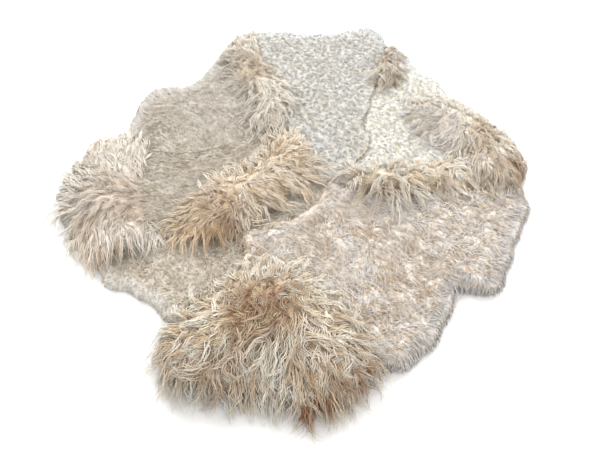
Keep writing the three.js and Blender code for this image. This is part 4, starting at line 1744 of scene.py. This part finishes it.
@dataclass
class LongWool(Wool):
    """One coat of a tuft's unshorn wool, in locks whose strands come together at their tips."""

    tuft: Tuft
    coat: Coat
    seed: int
    lock_width: float = 12 * MM
    wave: float = 62 * MM  # length of one swing along a lock
    turn: float = 0.34  # how far locks stray from the flow, in radians
    translucence: float = 0.5  # how far light that passes through the wool evens out its slopes
    parting: float = 95 * MM  # from one parting of the wool to the next
    bow: float = 0.24  # how far locks bow to a side, as a share of their length
    tone: float = 0.26  # how much the locks' tones differ
    reach: float = 0.9  # how far strands reach in plan, as a share of their length

    @property
    def name(self) -> str:
        """The name of its piece."""
        return f"locks_{self.tuft.plan.name}_{self.coat.name}"

    @property
    def steps(self) -> int:
        """Points along a strand."""
        return self.coat.steps

    def lock_places(self, rng: np.random.Generator) -> Array:
        """Where the locks grow, evenly over the tuft."""
        fine = 12 * MM
        count = float(self.tuft.covers(self.skin.places(fine, 0.3, rng)).sum())
        spacing = fine * math.sqrt(count / self.coat.locks)
        at = self.skin.places(spacing, 0.45, rng)
        return at[self.tuft.covers(at) > rng.uniform(0, 1, len(at))]

    def strands(self) -> Strands:
        """Places the strands of every lock and sets how each lies."""
        plan, coat, skin = self.tuft.plan, self.coat, self.skin
        rng = np.random.default_rng(self.seed)
        at = self.lock_places(rng)
        locks = len(at)
        growth = self.tuft.growth(at)
        turn = rng.normal(0, self.turn * plan.crimp, locks)
        astray = rng.normal(0, coat.stray * min(plan.crimp, 1), (locks, 2))
        flow = unit(np.stack([growth["dx"], growth["dy"]], axis=1) + astray)
        flow = np.stack([
            flow[:, 0] * np.cos(turn) - flow[:, 1] * np.sin(turn),
            flow[:, 0] * np.sin(turn) + flow[:, 1] * np.cos(turn),
        ], axis=1)
        side = np.stack([-flow[:, 1], flow[:, 0]], axis=1)
        length = growth["length"] * MM * coat.length * rng.uniform(0.75, 1.25, locks)
        lift = coat.lift * rng.uniform(0.6, 1.35, locks)
        bow = rng.normal(0, self.bow, locks)
        gold = growth["gold"] + rng.normal(0, self.tone * plan.crimp, locks)
        # browner in partings between groups of locks: painted shade between them
        parting = 0.3 * plan.crimp * np.clip(-ripple(at, self.parting) - 0.1, 0, 1)
        hollow = growth["hollow"] * rng.uniform(0.7, 1.4, locks)
        hollow = hollow + rng.normal(0, 0.1 * plan.crimp, locks) + parting
        grey = growth["grey"] * rng.uniform(0.6, 1.2, locks)
        swing = rng.uniform(3.5, 10, locks) * MM * plan.crimp
        gather = rng.uniform(coat.spread + 0.6 * max(0, 1 - plan.crimp), 1.3, locks)
        turns = length / self.wave * rng.uniform(0.75, 1.3, locks)
        phase = rng.uniform(0, 2 * math.pi, locks)
        over = rng.uniform(2, 10, locks) * MM
        lie = unit(skin.lie(at) + lifted(rng.normal(0, 0.2, (locks, 2)), self.translucence))

        which = np.repeat(np.arange(locks), coat.strands)
        count = len(which)
        scatter = rng.normal(0, self.lock_width / 2, (count, 2))
        start = at[which] + scatter
        held = inside(start, skin.outline)
        start[~held] = at[which][~held]
        own = length[which] * rng.uniform(0.8, 1.12, count)
        end = start - (1 - gather[which])[:, None] * scatter + flow[which] * (own * self.reach)[:, None]
        end = skin.rein(start, end, plan.hang * MM * rng.uniform(0.3, 1.15, count))
        base = self.footing(start, (skin.plan.relief + 2) * MM)
        height = self.rug.top(end)
        lying = 2 * MM + rng.uniform(0, 9, count) * MM
        tip_height = np.where(height > 0, height + over[which] + rng.uniform(0, 5, count) * MM, lying)
        bend = side[which] * (own * bow[which])[:, None]
        return Strands(
            root=lifted(start, base),
            stem=lifted((end - start) * 0.36 + bend, own * lift[which] + 8 * MM),
            tip=lifted(end - start, tip_height - base),
            swing=swing[which] * rng.uniform(0.7, 1.25, count),
            turns=turns[which] * rng.uniform(0.9, 1.1, count),
            phase=phase[which] + rng.normal(0, 0.7, count),
            thick=coat.thick * MM * rng.uniform(0.7, 1.25, count),
            gold=np.clip(gold[which] + rng.normal(0, 0.12, count), 0, 1),
            hollow=np.clip(hollow[which], 0, 1),
            grey=np.clip(grey[which], 0, 1),
            lie=lie[which],
        )


@dataclass
class Fleece:
    """One whole sheepskin: hide, underwool, short curls and long locks."""

    rug: Rug
    skin: Skin
    seed: int

    def wool(self, grower: WoolGrower, palette: Palette) -> list[bpy.types.Object]:
        """Grows all the wool that stands on the underwool.

        Args:
            grower: what makes strands.
            palette: the materials.

        Returns:
            The pieces of wool.
        """
        plan = self.skin.plan
        growths = []
        if plan.cut:
            growths.append((ShortWool(self.rug, self.skin), plan.locks))
        if plan.brush:
            growths.append((RimBrush(self.rug, self.skin), plan.locks))
        for tuft in self.skin.tufts:
            for coat in tuft.plan.coats:
                seed = 100 * self.seed + len(growths)
                growths.append((LongWool(self.rug, self.skin, tuft, coat, seed), tuft.plan.finish))
        return [wool.build(grower, palette.of(finish)) for wool, finish in growths]

    def build(self, grower: WoolGrower, palette: Palette) -> None:
        """Builds every piece of the skin and puts it on the rug.

        Args:
            grower: what makes strands.
            palette: the materials.
        """
        plan = self.skin.plan
        hide = Hide(self.skin).build(palette.of(SuedeFinish()))
        underwool = Underwool(self.skin).build(palette.of(plan.underwool))
        pieces = [underwool, *self.wool(grower, palette)]
        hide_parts(plan.node)
        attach(hide, "root")
        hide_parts(plan.node)
        for piece in pieces:
            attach(piece, "root")
        for piece in [hide, *pieces]:
            LOG.info("%-26s %7d triangles", piece.name, sum(len(p.vertices) - 2 for p in piece.data.polygons))


class Palette:
    """Makes each finish's material once."""

    def __init__(self) -> None:
        """Starts with none made."""
        self.made: dict[str, bpy.types.Material] = {}

    def of(self, finish: UnderwoolFinish | LockFinish | SuedeFinish) -> bpy.types.Material:
        """The material of a finish."""
        if finish.name not in self.made:
            self.made[finish.name] = finish.material()
        return self.made[finish.name]


# The room


@dataclass(frozen=True)
class View:
    """The photograph's view: a person looks down at the rug, phone in hand."""

    target: tuple[float, float, float] = (0.018, -0.2385, 0.0)
    eye_height: float = 1.6
    elevation: float = math.radians(55)
    field_of_view: float = math.radians(63)

    def build(self) -> None:
        """Makes the camera and sets it."""
        data = bpy.data.cameras.new("camera")
        data.sensor_fit = "HORIZONTAL"
        data.angle = self.field_of_view
        camera = placed("camera", data)
        back = self.eye_height / math.tan(self.elevation)
        place = Vector(self.target) + Vector((0, -back, self.eye_height))
        camera.location = place
        camera.rotation_euler = (Vector(self.target) - place).to_track_quat("-Z", "Y").to_euler()
        bpy.context.scene.camera = camera


@dataclass(frozen=True)
class Lamp:
    """One square lamp that faces the rug.

    Attributes:
        name: of the lamp.
        place: where it hangs.
        size: of its side.
        power: in watts.
    """

    name: str
    place: tuple[float, float, float]
    size: float
    power: float

    def build(self) -> None:
        """Hangs the lamp."""
        data = bpy.data.lights.new(self.name, "AREA")
        data.size = self.size
        data.energy = self.power
        light = placed(self.name, data)
        light.location = self.place
        light.rotation_euler = (-Vector(self.place)).to_track_quat("-Z", "Y").to_euler()


@dataclass(frozen=True)
class Studio:
    """A plain pale floor and soft light from the far side, most of it from the left."""

    floor_colour: str = "f7f7f6"
    floor_reach: float = 14.0
    sky_colour: tuple[float, float, float] = (1.0, 0.99, 0.973)
    sky_strength: float = 0.92
    lamps: tuple[Lamp, ...] = (
        Lamp("window", (-2.4, 2.6, 2.9), 2.0, 160),
        Lamp("far_window", (2.8, 2.2, 2.6), 2.0, 75),
        Lamp("fill", (1.8, -2.8, 3.2), 2.5, 44),
    )

    def build(self) -> None:
        """Makes the floor, the sky and the lamps."""
        corners = self.floor_reach * np.array([(-1, -1, 0), (1, -1, 0), (1, 1, 0), (-1, 1, 0)], float)
        floor = mesh_object("floor", corners, [(0, 1, 2, 3)], self.floor_material())
        world = bpy.data.worlds.new("soft_sky")
        world.use_nodes = True
        sky = world.node_tree.nodes["Background"].inputs
        sky["Color"].default_value = (*self.sky_colour, 1.0)
        sky["Strength"].default_value = self.sky_strength
        bpy.context.scene.world = world
        for lamp in self.lamps:
            lamp.build()
        bpy.context.scene.view_settings.view_transform = "Standard"

    def floor_material(self) -> bpy.types.Material:
        """A matt, nearly white floor."""
        shader = Shader("pale_floor")
        return shader.finish(linear(self.floor_colour), None, roughness=0.8, shine=0.1, sheen=0.0)


def main() -> None:
    """Builds the view, the room and every skin."""
    logging.basicConfig(level=logging.INFO, format="%(name)s: %(message)s")
    View().build()
    Studio().build()
    rug = Rug()
    grower = WoolGrower()
    palette = Palette()
    for seed, skin in enumerate(rug.skins):
        Fleece(rug, skin, seed).build(grower, palette)


if __name__ == "__main__":
    main()
